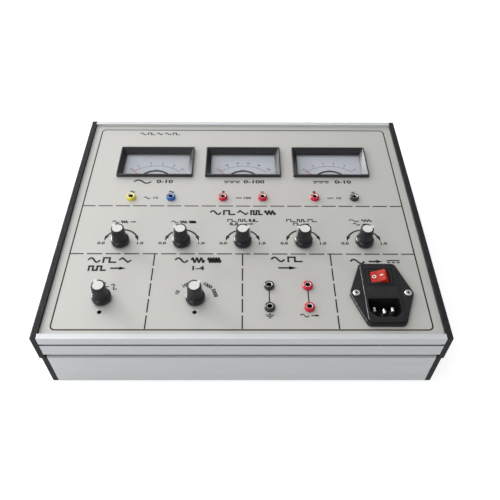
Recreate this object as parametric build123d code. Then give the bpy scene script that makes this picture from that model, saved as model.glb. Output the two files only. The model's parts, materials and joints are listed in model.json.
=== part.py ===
from build123d import *
import math
import os

# Alternating current circuit trainer: a flat aluminium bench case whose top panel carries three
# panel meters, ten 4 mm sockets, five potentiometers, two selector switches and a mains inlet.
# Millimetres. X runs to the user's right, Y away from the user, Z up. The origin is the middle
# of the footprint, on the bench.

# Case
case_width = 310.0
case_depth = 260.0
case_height = 64.5          # lip top to case bottom, without the feet
foot_standoff = 3.0         # case bottom above the bench
base_inset = 1.0            # the lower half is this much smaller on each side
cheek_thickness = 5.0
cheek_edge_radius = 1.2
cheek_step_depth = 27.5     # lip top to the step in the cheeks
rail_wall = 2.4
lip_width = 4.4
lip_thickness = 2.5
upper_skirt = 22.1          # lip top to the upper rail's lower edge
seam_height = 3.9           # dark channel between the upper and lower rails
seam_rib = 2.6              # rib along the upper rail's lower edge, behind its wall
tongue_thickness = 1.8
tongue_height = 7.0         # above the lower rail's top edge
tongue_root = 4.5           # below that edge
fit_clearance = 0.1         # between pieces that slide together
ledge_depth = 12.0
ledge_thickness = 2.0
bottom_lip_width = 8.0
bottom_lip_thickness = 2.0
channel_depth = 1.2         # shadow channel below the lip
channel_height = 2.4
channel_drop = 8.8          # lip top to the middle of that channel
line_width = 1.4            # fine decorative lines on the rails
line_depth = 0.25
upper_line_drops = (17.0,)
lower_line_drops = (36.8, 46.9, 54.3)
boss_radius = 3.2
upper_boss_drop = 13.5
lower_boss_drop = 36.0
rail_screw_radius = 1.25
rail_screw_length = 14.0
rail_screw_head_radius = 2.7

# Panel and base plate
panel_thickness = 2.0
base_plate_thickness = 1.5
edge_gap = 0.15             # plate edge to the wall beside it
locating_hole_radius = 1.7
locating_hole_distance = 12.6
locating_lug_depth = 1.6    # lug's end below the panel surface

# Feet
foot_radius = 9.0
foot_taper = 1.0
foot_inset = 22.0           # case side to foot centre
foot_recess_depth = 2.5
foot_recess_radius = 3.4

# M3 screws and nuts
m3_radius = 1.45
m3_hole_radius = 1.6
m3_head_radius = 2.8
m3_head_height = 1.8
m3_nut_flats = 5.5
m3_nut_height = 2.4
cross_width = 0.8
cross_depth = 1.0

# Panel meters
meter_pitch = 82.9
meter_rear_distance = 61.6  # case rear to the meters' centre line
bezel_width = 71.3
bezel_height = 40.9
bezel_rise = 3.1            # proud of the panel
bezel_rim = 1.0
bezel_corner = 1.0
window_width = 61.4
window_height = 30.7
window_drop = 1.8           # window face below the panel surface
pane_thickness = 1.6
pane_overlap = 1.0          # pane edge hidden under the bezel
neck_wall = 1.7             # bezel neck outside the pane
neck_clearance = 0.2
meter_case_width = 71.0
meter_case_depth = 28.0
meter_case_wall = 1.5
meter_case_back = 19.5      # bezel centre to the case's rear wall
pivot_offset = 32.8         # bezel centre to the pointer's pivot
dial_thickness = 0.8
dial_drop = 5.0             # dial face below the panel surface
dial_post_radius = 2.0
cover_radius = 16.4         # round movement cover
cover_offset = 22.8         # bezel centre to the cover's centre
works_gap = 0.4             # movement to the meter case's front wall
cover_rim = 1.1
cover_rise = 0.5
pointer_length = 36.0
pointer_tail = 6.0
pointer_width = 0.9
pointer_thickness = 0.4
pointer_gap = 0.3           # pointer above the movement cover
pointer_zero_angle = 40.5   # left of straight up at zero
hub_radius = 1.8
spindle_radius = 0.6
spindle_clearance = 0.1
core_radius = 8.0
magnet_width = 30.0
magnet_length = 20.0
magnet_height = 15.0
stud_radius = 2.0
stud_length = 11.0
stud_spacing = 30.0
stud_nut_flats = 7.0
stud_nut_height = 3.0

# Potentiometers and selector switches
pot_pitch = 51.3
pot_y = -33.7
pot_angles = {"amplitude": -46.0, "frequency": -64.0, "duty_ratio": 67.0,
              "square_linear": -71.0, "sine_linear": 64.0}
selector_side_distances = {"waveform": 46.5, "range": 118.7}    # from the case's left side
selector_front_distance = 37.7
selector_angles = {"waveform": -31.0, "range": 42.0}
bushing_radius = 3.5
bushing_length = 6.2        # above the control's body
bushing_hole_clearance = 0.1
shaft_radius = 3.0
shaft_clearance = 0.05
shaft_flat = 1.5            # depth of the shaft's flat
shaft_flange_radius = 4.6
shaft_flange_height = 1.2
pot_body_radius = 8.3
pot_body_height = 9.0
selector_body_radius = 13.0
selector_body_height = 12.0
body_wall = 1.5
terminal_width = 1.2
terminal_thickness = 0.5
terminal_length = 5.0
control_nut_flats = 10.0
control_nut_height = 2.0
washer_radius = 5.6
washer_thickness = 0.5

# Knobs
knob_radius = 7.65
knob_height = 16.6
knob_gap = 1.0              # knob skirt above the panel
skirt_height = 2.8
skirt_shoulder = 1.9
skirt_edge = 0.3
barrel_foot_radius = 6.0
barrel_top_radius = 5.35
knob_flutes = 20
flute_depth = 0.4
flute_half_angle = 4.5      # degrees
knob_cavity_radius = 6.7
knob_cavity_depth = 3.6
knob_bore_depth = 13.4
knob_bore_clearance = 0.02
cap_radius = 4.2
cap_recess = 0.4            # cap's face below the knob's top
cap_thickness = 1.4
cap_clearance = 0.05
tongue_width = 1.5          # white fin down the knob's side
tongue_inner_radius = 4.6
tongue_top_reach = 6.3      # axis to the fin's outer edge
tongue_foot_reach = 7.35
tongue_foot_drop = 0.9      # the fin's outer corner below the shoulder's top

# 4 mm sockets
jack_pitch = 35.8           # the two sockets of one meter
jack_distance = 48.5        # meters' centre line to the sockets' line
output_side_distances = {"ground": 134.0, "signal": 103.6}      # from the case's right side
output_front_distances = (49.8, 29.2)
collar_radius = 4.15
collar_height = 3.2
collar_round = 1.3
sleeve_radius = 3.4
sleeve_length = 13.0        # below the panel surface
sleeve_hole_clearance = 0.1
jack_nut_flats = 9.0
jack_nut_height = 3.0
contact_radius = 2.5
contact_wall_clearance = 0.03
socket_radius = 2.0
socket_depth = 19.0
socket_mouth_chamfer = 0.25
contact_recess = 0.2        # contact's rim below the collar top
contact_floor = 1.0
contact_flange_radius = 3.2
solder_tail_radius = 1.4
solder_tail_length = 6.0

# Mains inlet
inlet_side_distance = 46.6  # from the case's right side
inlet_front_distance = 41.5
inlet_screw_pitch = 40.1
inlet_screw_y = -1.0        # from the inlet's centre
inlet_tip_x = 25.1
inlet_flat_width = 28.6
inlet_height = 58.8
inlet_tip_radius = 5.0
inlet_corner_radius = 4.0
ear_thickness = 3.2
block_thickness = 4.6
block_inset = 1.1           # raised block behind the flange's front and rear edges
block_edge_radius = 1.0
inlet_body_width = 27.0
inlet_body_height = 50.0
inlet_body_depth = 30.0
inlet_cutout_clearance = 0.3
rocker_y = 14.6             # from the inlet's centre
rocker_width = 11.0
rocker_top_reach = 6.0      # middle to the ends of the pressed face
rocker_foot_reach = 7.55    # the ends flare towards the well
rocker_sweep_radius = 7.7
rocker_clearance = 0.25
rocker_pivot_drop = 2.3     # pivot below the block's face
rocker_end_rise = 4.15      # above the pivot, level
rocker_middle_rise = 3.4
rocker_foot_drop = 1.8      # widest point below the pivot
rocker_belly = 3.2          # below the pivot
rocker_tilt = 21.0
rocker_pin_radius = 1.0
rocker_pin_length = 1.0
rocker_pin_clearance = 0.05
rocker_frame_width = 21.6
rocker_frame_height = 16.0
rocker_frame_line = 0.6
rocker_frame_depth = 0.6
drawer_y = 0.1
drawer_plate_width = 24.4
drawer_plate_height = 9.0
drawer_plate_thickness = 1.6
drawer_body_width = 22.6
drawer_body_height = 7.0
drawer_depth = 20.0
drawer_clearance = 0.15
fuse_radius = 2.6
fuse_length = 20.0
fuse_cap_length = 5.0
fuse_drop = 13.0            # fuse axis below the block's face
socket_recess_y = -14.9
socket_recess_width = 24.6
socket_recess_height = 17.0
socket_recess_depth = 16.5
socket_recess_chamfer = 5.0
socket_recess_corner = 1.5
blade_thickness = 2.0
blade_width = 4.0
blade_pitch = 14.0
line_blade_offset = 2.0     # behind the recess's middle
earth_blade_offset = 0.6    # in front of it
earth_blade_lead = 1.0      # the earth blade is this much longer
blade_tip_drop = 5.0
blade_tail = 8.0

# Transformer, circuit board and standoffs
transformer_side_distance = 51.0                # from the case's right side
transformer_y = -28.0
bracket_foot_length = 9.0
bracket_thickness = 1.5
core_width = 48.0
core_height = 40.0
core_stack = 18.0
core_limb = 8.0
coil_height = 23.6
coil_depth = 32.0
board_x = -22.0
board_y = -52.0
board_width = 150.0
board_depth = 96.0
board_thickness = 1.6
board_corner = 2.0
standoff_height = 6.5
standoff_radius = 3.0
standoff_inset = 6.0
standoff_pin_radius = 1.5
chip_size = (20.0, 7.0, 3.5)
capacitor_radius = 5.0
capacitor_height = 16.0
component_pitch = 26.0

# Heights worked out from the sizes above
case_bottom = foot_standoff
lip_top = case_bottom + case_height
panel_top = lip_top - lip_thickness
panel_bottom = panel_top - panel_thickness
upper_rail_bottom = lip_top - upper_skirt
lower_rail_top = upper_rail_bottom - seam_height
cheek_step_z = lip_top - cheek_step_depth
base_plate_bottom = case_bottom + bottom_lip_thickness
base_plate_top = base_plate_bottom + base_plate_thickness
bracket_top = base_plate_top + bracket_thickness
window_z = panel_top - window_drop
bezel_top = panel_top + bezel_rise
neck_bottom = window_z - pane_thickness
dial_top = panel_top - dial_drop
dial_bottom = dial_top - dial_thickness
cover_top = dial_top + cover_rise
pointer_bottom = cover_top + pointer_gap
pointer_top = pointer_bottom + pointer_thickness
meter_case_bottom = panel_bottom - meter_case_depth
meter_floor = meter_case_bottom + meter_case_wall
knob_bottom = panel_top + knob_gap
knob_top = knob_bottom + knob_height
bushing_top = panel_bottom + bushing_length
block_top = panel_top + block_thickness
ear_top = panel_top + ear_thickness
inlet_body_bottom = panel_top - inlet_body_depth
rocker_pivot_z = block_top - rocker_pivot_drop
collar_top = panel_top + collar_height
contact_top = collar_top - contact_recess
sleeve_bottom = panel_top - sleeve_length
board_bottom = base_plate_top + standoff_height
board_top = board_bottom + board_thickness

# Widths worked out from the sizes above
upper_rail_length = case_width - 2 * cheek_thickness
lower_rail_length = upper_rail_length - 2 * base_inset
neck_width = window_width + 2 * (pane_overlap + neck_wall)
neck_height = window_height + 2 * (pane_overlap + neck_wall)
meter_case_front = pivot_offset + core_radius + works_gap + meter_case_wall
bracket_hole_reach = core_width / 2 + bracket_foot_length / 2

# Places
left_side = -case_width / 2
right_side = case_width / 2
front_side = -case_depth / 2
meter_y = case_depth / 2 - meter_rear_distance
jack_y = meter_y - jack_distance
selector_x = {name: left_side + distance for name, distance in selector_side_distances.items()}
selector_y = front_side + selector_front_distance
output_x = {name: right_side - distance for name, distance in output_side_distances.items()}
output_y = [front_side + distance for distance in output_front_distances]
inlet_x = right_side - inlet_side_distance
inlet_y = front_side + inlet_front_distance
transformer_x = right_side - transformer_side_distance
meters = {"left": -meter_pitch, "centre": 0.0, "right": meter_pitch}
pots = {name: (place - 2) * pot_pitch for place, name in enumerate(pot_angles)}
controls = [(name, x, pot_y, pot_angles[name]) for name, x in pots.items()]
controls += [(name, x, selector_y, selector_angles[name]) for name, x in selector_x.items()]
meter_jacks = [meter_x + side * jack_pitch / 2 for meter_x in meters.values() for side in (-1, 1)]
yellow_places = [(meter_jacks[0], jack_y)]
blue_places = [(meter_jacks[1], jack_y)]
red_places = [(x, jack_y) for x in meter_jacks[2:5]] + [(output_x["signal"], y) for y in output_y]
black_places = [(meter_jacks[5], jack_y)] + [(output_x["ground"], y) for y in output_y]
jack_places = yellow_places + blue_places + red_places + black_places
foot_places = [(sx * (case_width / 2 - foot_inset), sy * (case_depth / 2 - foot_inset))
               for sx in (-1, 1) for sy in (-1, 1)]
inlet_screw_places = [(inlet_x + side * inlet_screw_pitch / 2, inlet_y + inlet_screw_y) for side in (-1, 1)]
bracket_places = [(transformer_x + side * bracket_hole_reach, transformer_y) for side in (-1, 1)]
standoff_places = [(board_x + sx * (board_width / 2 - standoff_inset),
                    board_y + sy * (board_depth / 2 - standoff_inset))
                   for sx in (-1, 1) for sy in (-1, 1)]


# Small shapes that several pieces use

def block(x_limits, y_limits, z_limits):
    sizes = [high - low for low, high in (x_limits, y_limits, z_limits)]
    middles = [(low + high) / 2 for low, high in (x_limits, y_limits, z_limits)]
    return Pos(*middles) * Box(*sizes)


def rod(radius, bottom, top):
    return Pos(0, 0, (bottom + top) / 2) * Cylinder(radius, top - bottom)


def slab(width, height, bottom, top, corner=0.0):
    outline = RectangleRounded(width, height, corner) if corner else Rectangle(width, height)
    return extrude(Pos(0, 0, bottom) * outline, top - bottom)


def hexagon(across_flats, bottom, top):
    outline = RegularPolygon(across_flats / 2, 6, major_radius=False)
    return extrude(Pos(0, 0, bottom) * outline, top - bottom)


def nut(across_flats, bore, bottom, top):
    return hexagon(across_flats, bottom, top) - rod(bore, bottom, top)


def at(places, shape):
    return [Pos(x, y, 0) * shape for x, y in places]


def cross_recess(top):
    arm = m3_head_radius * 1.2
    depth = (top - cross_depth, top)
    bar = block((-arm / 2, arm / 2), (-cross_width / 2, cross_width / 2), depth)
    return bar + Rot(0, 0, 90) * bar


def pan_screw(seat, length):
    head = rod(m3_head_radius, seat, seat + m3_head_height)
    head = fillet(head.edges().group_by(Axis.Z)[-1], m3_head_height * 0.4)
    return head - cross_recess(seat + m3_head_height) + rod(m3_radius, seat - length, seat)


def bolt_from_below(seat, length):
    head = rod(m3_head_radius, seat - m3_head_height, seat)
    head = chamfer(head.edges().group_by(Axis.Z)[0], m3_head_height * 0.3)
    slot = block((-m3_head_radius, m3_head_radius), (-cross_width / 2, cross_width / 2),
                 (seat - m3_head_height, seat - m3_head_height + cross_depth))
    return head - slot + rod(m3_radius, seat, seat + length)


# Case

def rail_profile_block(y_limits, z_limits):
    height = z_limits[1] - z_limits[0]
    width = y_limits[1] - y_limits[0]
    return Pos((y_limits[0] + y_limits[1]) / 2, (z_limits[0] + z_limits[1]) / 2) * Rectangle(width, height)


def rail_line(face_y, drop):
    points = [(face_y, line_width / 2), (face_y + line_depth, 0), (face_y, -line_width / 2)]
    return Pos(0, lip_top - drop) * make_face(Polyline(*points, close=True))


def screw_boss(face_y, drop):
    centre = Pos(face_y + rail_wall + boss_radius - tongue_thickness / 2, lip_top - drop)
    return centre * Circle(boss_radius), centre * Circle(rail_screw_radius)


def upper_rail():
    profile = rail_profile_block((0, rail_wall), (upper_rail_bottom, lip_top))
    profile += rail_profile_block((0, lip_width), (panel_top, lip_top))
    ledge_top = panel_bottom - fit_clearance
    profile += rail_profile_block((0, ledge_depth), (ledge_top - ledge_thickness, ledge_top))
    boss, boss_hole = screw_boss(0, upper_boss_drop)
    profile += boss
    profile += rail_profile_block((0, rail_wall + seam_rib),
                                  (upper_rail_bottom, upper_rail_bottom + seam_rib))
    channel_z = lip_top - channel_drop
    profile -= rail_profile_block((0, channel_depth), (channel_z - channel_height / 2,
                                                       channel_z + channel_height / 2))
    for drop in upper_line_drops:
        profile -= rail_line(0, drop)
    return rail_from(profile - boss_hole, upper_rail_length)


def lower_rail():
    face = base_inset
    tongue_face = rail_wall + seam_rib + fit_clearance
    tongue_back = tongue_face + tongue_thickness
    root_bottom = lower_rail_top - tongue_root
    profile = rail_profile_block((face, face + rail_wall), (case_bottom, lower_rail_top))
    profile += rail_profile_block((tongue_face, tongue_back), (root_bottom, lower_rail_top + tongue_height))
    profile += rail_profile_block((face, tongue_back), (root_bottom, root_bottom + tongue_thickness))
    profile += rail_profile_block((face, bottom_lip_width), (case_bottom, base_plate_bottom))
    ledge_bottom = base_plate_top + fit_clearance
    profile += rail_profile_block((face, bottom_lip_width), (ledge_bottom, ledge_bottom + ledge_thickness))
    boss, boss_hole = screw_boss(face, lower_boss_drop)
    profile += boss
    for drop in lower_line_drops:
        profile -= rail_line(face, drop)
    return rail_from(profile - boss_hole, lower_rail_length)


def rail_from(profile, length):
    placed = Plane(origin=(0, -case_depth / 2, 0), x_dir=(0, 1, 0), z_dir=(1, 0, 0)) * profile
    return extrude(placed, length / 2, both=True)


def rail_screw_places(side):
    first_centre = rail_wall + boss_radius - tongue_thickness / 2 - case_depth / 2
    return [(sign * (first_centre + inset), lip_top - drop, side * (upper_rail_length / 2 - inset))
            for inset, drop in ((0, upper_boss_drop), (base_inset, lower_boss_drop))
            for sign in (1, -1)]


def cheek(side):
    inner = upper_rail_length / 2
    upper = block((inner, case_width / 2), (-case_depth / 2, case_depth / 2), (cheek_step_z, lip_top))
    base_half_depth = case_depth / 2 - base_inset
    lower = block((inner - base_inset, case_width / 2 - base_inset), (-base_half_depth, base_half_depth),
                  (case_bottom, cheek_step_z))
    outside = upper.edges().filter_by_position(Axis.X, case_width / 2, case_width / 2)
    upper = fillet(outside.filter_by_position(Axis.Z, cheek_step_z + 1, lip_top), cheek_edge_radius)
    lower_outside = lower.edges().filter_by_position(Axis.X, case_width / 2 - base_inset,
                                                     case_width / 2 - base_inset)
    lower_outside = lower_outside.filter_by_position(Axis.Z, case_bottom, cheek_step_z - 1)
    lower = fillet(lower_outside, cheek_edge_radius)
    plate = upper + lower
    if side < 0:
        plate = mirror(plate, Plane.YZ)
    for y, z, x in rail_screw_places(side):
        plate -= Pos(0, y, z) * rail_screw_hole(x, side)
    return plate


def rail_screw_hole(x, side):
    through = rod(rail_screw_radius + fit_clearance, -1.0, cheek_thickness + 1.0)
    sink = Pos(0, 0, cheek_thickness - rail_screw_head_radius / 2) * Cone(
        rail_screw_radius, rail_screw_head_radius, rail_screw_head_radius)
    return Pos(x, 0, 0) * Rot(0, side * 90, 0) * (through + sink)


def rail_screw(x, side):
    shank = rod(rail_screw_radius - fit_clearance / 2, cheek_thickness - rail_screw_length, cheek_thickness)
    head = Pos(0, 0, cheek_thickness - rail_screw_head_radius / 2) * Cone(
        rail_screw_radius, rail_screw_head_radius, rail_screw_head_radius)
    slot = block((-rail_screw_head_radius, rail_screw_head_radius), (-cross_width / 2, cross_width / 2),
                 (cheek_thickness - cross_depth, cheek_thickness + 1))
    return Pos(x, 0, 0) * Rot(0, side * 90, 0) * (shank + head - slot)


def case_screws():
    pieces = [Pos(0, y, z) * rail_screw(x, side) for side in (-1, 1) for y, z, x in rail_screw_places(side)]
    foot_screw = bolt_from_below(foot_recess_depth, base_plate_top + m3_nut_height + 1 - foot_recess_depth)
    foot_nut = nut(m3_nut_flats, m3_radius, base_plate_top, base_plate_top + m3_nut_height)
    bracket_screw = bolt_from_below(base_plate_bottom, bracket_top + m3_nut_height + 1 - base_plate_bottom)
    bracket_nut = nut(m3_nut_flats, m3_radius, bracket_top, bracket_top + m3_nut_height)
    pieces += at(foot_places, foot_screw) + at(foot_places, foot_nut)
    return pieces + at(bracket_places, bracket_screw) + at(bracket_places, bracket_nut)


def panel_plate():
    plate = slab(upper_rail_length - 2 * edge_gap, case_depth - 2 * (rail_wall + edge_gap),
                 panel_bottom, panel_top)
    cuts = at([(x, meter_y) for x in meters.values()],
              slab(neck_width + 2 * neck_clearance, neck_height + 2 * neck_clearance,
                   panel_bottom, panel_top, bezel_corner))
    cuts += at(jack_places, rod(sleeve_radius + sleeve_hole_clearance, panel_bottom, panel_top))
    cuts += at([(x, y) for _, x, y, _ in controls],
               rod(bushing_radius + bushing_hole_clearance, panel_bottom, panel_top))
    cuts += at([(x, selector_y - locating_hole_distance) for x in selector_x.values()],
               rod(locating_hole_radius, panel_bottom, panel_top))
    cuts += at([(inlet_x, inlet_y)], slab(inlet_body_width + 2 * inlet_cutout_clearance,
                                          inlet_body_height + 2 * inlet_cutout_clearance,
                                          panel_bottom, panel_top))
    cuts += at(inlet_screw_places, rod(m3_hole_radius, panel_bottom, panel_top))
    return plate - cuts


def base_plate():
    plate = slab(lower_rail_length - 2 * edge_gap,
                 case_depth - 2 * (base_inset + rail_wall + edge_gap), base_plate_bottom, base_plate_top)
    holes = at(foot_places, rod(m3_hole_radius, base_plate_bottom, base_plate_top))
    holes += at(standoff_places, rod(standoff_pin_radius, base_plate_bottom, base_plate_top))
    holes += at(bracket_places, rod(m3_hole_radius, base_plate_bottom, base_plate_top))
    return plate - holes


def foot():
    body = Pos(0, 0, base_plate_bottom / 2) * Cone(foot_radius - foot_taper, foot_radius, base_plate_bottom)
    body = chamfer(body.edges().group_by(Axis.Z)[0], foot_taper * 0.8)
    return body - rod(foot_recess_radius, 0, foot_recess_depth) - rod(m3_hole_radius, 0, base_plate_bottom)


# Panel meters

def meter_bezel():
    flange = slab(bezel_width, bezel_height, panel_top, bezel_top, bezel_corner)
    neck = slab(neck_width, neck_height, neck_bottom, panel_top, bezel_corner)
    rim_opening = Rectangle(bezel_width - 2 * bezel_rim, bezel_height - 2 * bezel_rim)
    window_opening = Rectangle(window_width, window_height)
    funnel = loft([Pos(0, 0, window_z) * window_opening, Pos(0, 0, bezel_top) * rim_opening])
    rebate = slab(window_width + 2 * (pane_overlap + fit_clearance),
                  window_height + 2 * (pane_overlap + fit_clearance), neck_bottom, window_z)
    return flange + neck - funnel - rebate


def meter_window():
    return slab(window_width + 2 * pane_overlap, window_height + 2 * pane_overlap, neck_bottom, window_z)


def meter_case():
    half = meter_case_width / 2
    outer = block((-half, half), (-meter_case_front, meter_case_back), (meter_case_bottom, panel_bottom))
    wall = meter_case_wall
    inner = block((wall - half, half - wall), (wall - meter_case_front, meter_case_back - wall),
                  (meter_floor, panel_bottom - wall))
    mouth = slab(neck_width + 2 * neck_clearance, neck_height + 2 * neck_clearance,
                 panel_bottom - wall, panel_bottom)
    shell = outer - inner - mouth
    shell -= at(stud_places(), rod(stud_radius + fit_clearance, meter_case_bottom, meter_floor))
    for post in at(dial_post_places(), rod(dial_post_radius, meter_floor, dial_bottom)):
        shell += post
    return [shell] + at(stud_places(), terminal_stud()) + at(stud_places(), terminal_nut())


def stud_places():
    return [(side * stud_spacing / 2, meter_case_back - 3 * stud_nut_flats) for side in (-1, 1)]


def dial_post_places():
    reach_x = meter_case_width / 2 - meter_case_wall - dial_post_radius - 1.5
    reach_y = window_height / 2 - dial_post_radius
    return [(side * reach_x, sign * reach_y) for side in (-1, 1) for sign in (-1, 1)]


def terminal_stud():
    head = rod(stud_radius * 1.7, meter_floor, meter_floor + stud_radius)
    return head + rod(stud_radius, meter_case_bottom - stud_length, meter_floor)


def terminal_nut():
    return nut(stud_nut_flats, stud_radius, meter_case_bottom - stud_nut_height, meter_case_bottom)


def meter_dial():
    half_width = meter_case_width / 2 - meter_case_wall - 1
    plate = block((-half_width, half_width), (-window_height / 2 - 4, window_height / 2 + 2),
                  (dial_bottom, dial_top))
    return plate - Pos(0, -cover_offset, 0) * rod(cover_radius + fit_clearance, dial_bottom, dial_top)


def meter_movement():
    disc = rod(cover_radius, dial_bottom, cover_top) - rod(cover_radius - cover_rim, dial_top, cover_top)
    core = rod(core_radius, meter_floor, dial_bottom)
    magnet = block((-magnet_width / 2, magnet_width / 2), (0, magnet_length),
                   (meter_floor, meter_floor + magnet_height))
    bore = rod(spindle_radius + spindle_clearance, meter_floor + spindle_radius, cover_top)
    works = Pos(0, -pivot_offset, 0) * (core + magnet)
    return Pos(0, -cover_offset, 0) * disc + works - Pos(0, -pivot_offset, 0) * bore


def meter_pointer():
    half = pointer_width / 2
    outline = Polyline((-half, -pointer_tail), (half, -pointer_tail), (half, 0),
                       (half / 2, pointer_length), (-half / 2, pointer_length), (-half, 0), close=True)
    needle = extrude(Pos(0, 0, pointer_bottom) * make_face(outline), pointer_thickness)
    weight = Pos(0, -pointer_tail, 0) * rod(half * 2, pointer_bottom, pointer_top)
    hub = rod(hub_radius, pointer_bottom, pointer_top)
    spindle = rod(spindle_radius, meter_floor + 2 * spindle_radius, pointer_top)
    return Pos(0, -pivot_offset, 0) * Rot(0, 0, pointer_zero_angle) * (needle + weight + hub + spindle)


# Knobs and controls

def knob_body():
    shoulder_top = skirt_height + skirt_shoulder
    outline = Line((0, 0), (knob_radius - skirt_edge, 0))
    outline += Line((knob_radius - skirt_edge, 0), (knob_radius, skirt_edge))
    outline += Line((knob_radius, skirt_edge), (knob_radius, skirt_height))
    outline += EllipticalCenterArc((barrel_foot_radius, skirt_height), knob_radius - barrel_foot_radius,
                                   skirt_shoulder, 0, arc_size=90)
    outline += Line((barrel_foot_radius, shoulder_top), (0, shoulder_top))
    outline += Line((0, shoulder_top), (0, 0))
    skirt = revolve(Plane.XZ * make_face(outline), Axis.Z)
    foot_z = shoulder_top - fit_clearance
    barrel = loft([Pos(0, 0, foot_z) * fluted_outline(barrel_foot_radius),
                   Pos(0, 0, knob_height) * fluted_outline(barrel_top_radius)], ruled=True)
    body = skirt + barrel - rod(knob_cavity_radius, 0, knob_cavity_depth)
    body -= shaft_section(shaft_radius + knob_bore_clearance, 0, knob_bore_depth)
    return body - cap_shape(knob_height, cap_clearance)


def fluted_outline(radius):
    valley = radius - flute_depth
    points = []
    for flute in range(knob_flutes):
        middle = 360 / knob_flutes * (flute + 0.5)
        for turn, reach in ((-flute_half_angle, radius), (0, valley), (flute_half_angle, radius)):
            angle = math.radians(middle + turn)
            points.append((reach * math.cos(angle), reach * math.sin(angle)))
    return make_face(Polyline(*points, close=True))


def shaft_section(radius, bottom, top):
    flat = block((-radius, radius), (-radius, radius - shaft_flat), (bottom, top))
    return rod(radius, bottom, top) & flat


def cap_shape(top, clearance=0.0):
    floor = knob_height - cap_recess - cap_thickness
    disc = rod(cap_radius + clearance, floor, top)
    half = tongue_width / 2 + clearance
    side = cap_radius + clearance
    point = Polyline((-side, 0), (-half, tongue_top_reach), (half, tongue_top_reach), (side, 0), close=True)
    point = extrude(Pos(0, 0, floor) * make_face(point), top - floor)
    foot_z = skirt_height + skirt_shoulder - clearance
    inner = tongue_inner_radius - clearance
    line = Polyline((inner, foot_z), (barrel_foot_radius, foot_z),
                    (tongue_foot_reach + clearance, foot_z - tongue_foot_drop),
                    (tongue_top_reach + clearance, top), (inner, top), close=True)
    fin = extrude(Plane.YZ * make_face(line), half, both=True)
    return disc + point + fin


def control_shaft():
    bottom = panel_bottom - pot_body_height + body_wall
    flat_start = bushing_top + 0.2
    top = knob_bottom + knob_bore_depth - 0.4
    shaft = rod(shaft_radius, bottom, flat_start) + shaft_section(shaft_radius, flat_start, top)
    return shaft + rod(shaft_flange_radius, bottom, bottom + shaft_flange_height)


def control_body(radius, height, terminal_count):
    bottom = panel_bottom - height
    shaft_bottom = panel_bottom - pot_body_height + body_wall
    body = rod(radius, bottom, panel_bottom) + rod(bushing_radius, panel_bottom, bushing_top)
    body -= rod(shaft_radius + shaft_clearance, shaft_bottom, bushing_top)
    flange_room = 0.2
    body -= rod(shaft_flange_radius + flange_room, shaft_bottom,
                shaft_bottom + shaft_flange_height + flange_room)
    for place in range(terminal_count):
        turn = 360 / terminal_count * place
        lug = block((radius - 3, radius - 3 + terminal_thickness), (-terminal_width / 2, terminal_width / 2),
                    (bottom - terminal_length, bottom + 1))
        body += Rot(0, 0, turn) * lug
    return body


def potentiometer_bodies():
    return at([(x, pot_y) for x in pots.values()], control_body(pot_body_radius, pot_body_height, 3))


def selector_bodies():
    lug_top = panel_top - locating_lug_depth
    lug = Pos(0, -locating_hole_distance, 0) * rod(locating_hole_radius - fit_clearance * 3,
                                                   panel_bottom - 3, lug_top)
    body = control_body(selector_body_radius, selector_body_height, 6) + lug
    return at([(x, selector_y) for x in selector_x.values()], body)


def panel_nuts():
    washer = rod(washer_radius, panel_top, panel_top + washer_thickness) - rod(bushing_radius, panel_top,
                                                                               panel_top + washer_thickness)
    nut_bottom = panel_top + washer_thickness
    control_nut = nut(control_nut_flats, bushing_radius, nut_bottom, nut_bottom + control_nut_height)
    jack_nut = nut(jack_nut_flats, sleeve_radius, panel_bottom - jack_nut_height, panel_bottom)
    control_places = [(x, y) for _, x, y, _ in controls]
    return at(control_places, washer) + at(control_places, control_nut) + at(jack_places, jack_nut)


# Sockets

def jack_sleeve():
    collar = rod(collar_radius, panel_top, collar_top)
    collar = fillet(collar.edges().group_by(Axis.Z)[-1], collar_round)
    body = collar + rod(sleeve_radius, sleeve_bottom, panel_top)
    return body - rod(contact_radius + contact_wall_clearance, sleeve_bottom, collar_top)


def jack_contact():
    bottom = contact_top - socket_depth - contact_floor
    tube = rod(contact_radius, bottom, contact_top)
    flange = rod(contact_flange_radius, sleeve_bottom - contact_floor, sleeve_bottom)
    tail = rod(solder_tail_radius, bottom - solder_tail_length, bottom)
    tube += flange + tail
    tube -= rod(socket_radius, contact_top - socket_depth, contact_top)
    mouth = [edge for edge in tube.edges().filter_by(GeomType.CIRCLE).group_by(Axis.Z)[-1]
             if edge.radius < contact_radius]
    return chamfer(mouth, socket_mouth_chamfer)


# Mains inlet

def inlet_outline():
    flat = inlet_flat_width / 2
    edge = inlet_height / 2
    corners = [(flat, edge), (inlet_tip_x, 0), (flat, -edge),
               (-flat, -edge), (-inlet_tip_x, 0), (-flat, edge)]
    outline = make_face(Polyline(*corners, close=True))
    tips = outline.vertices().sort_by(Axis.X)
    outline = fillet([tips[0], tips[-1]], inlet_tip_radius)
    far = outline.vertices().group_by(Axis.Y)
    return fillet(far[0] + far[-1], inlet_corner_radius)


def inlet_body():
    flange = extrude(Pos(0, 0, panel_top) * inlet_outline(), ear_thickness)
    flange = chamfer(flange.edges().group_by(Axis.Z)[-1], block_edge_radius / 2)
    raised = slab(inlet_flat_width, inlet_height - 2 * block_inset, panel_top, block_top,
                  inlet_corner_radius)
    raised = fillet(raised.edges().group_by(Axis.Z)[-1], block_edge_radius)
    body = flange + raised + slab(inlet_body_width, inlet_body_height, inlet_body_bottom, panel_top)
    screw_hole = rod(m3_hole_radius, panel_top, block_top)
    body -= [Pos(side * inlet_screw_pitch / 2, inlet_screw_y, 0) * screw_hole for side in (-1, 1)]
    body -= Pos(0, rocker_y, 0) * rocker_well()
    body -= Pos(0, drawer_y, 0) * drawer_slot()
    body -= Pos(0, socket_recess_y, 0) * socket_recess()
    body -= blades()
    return Pos(inlet_x, inlet_y, 0) * body


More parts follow.
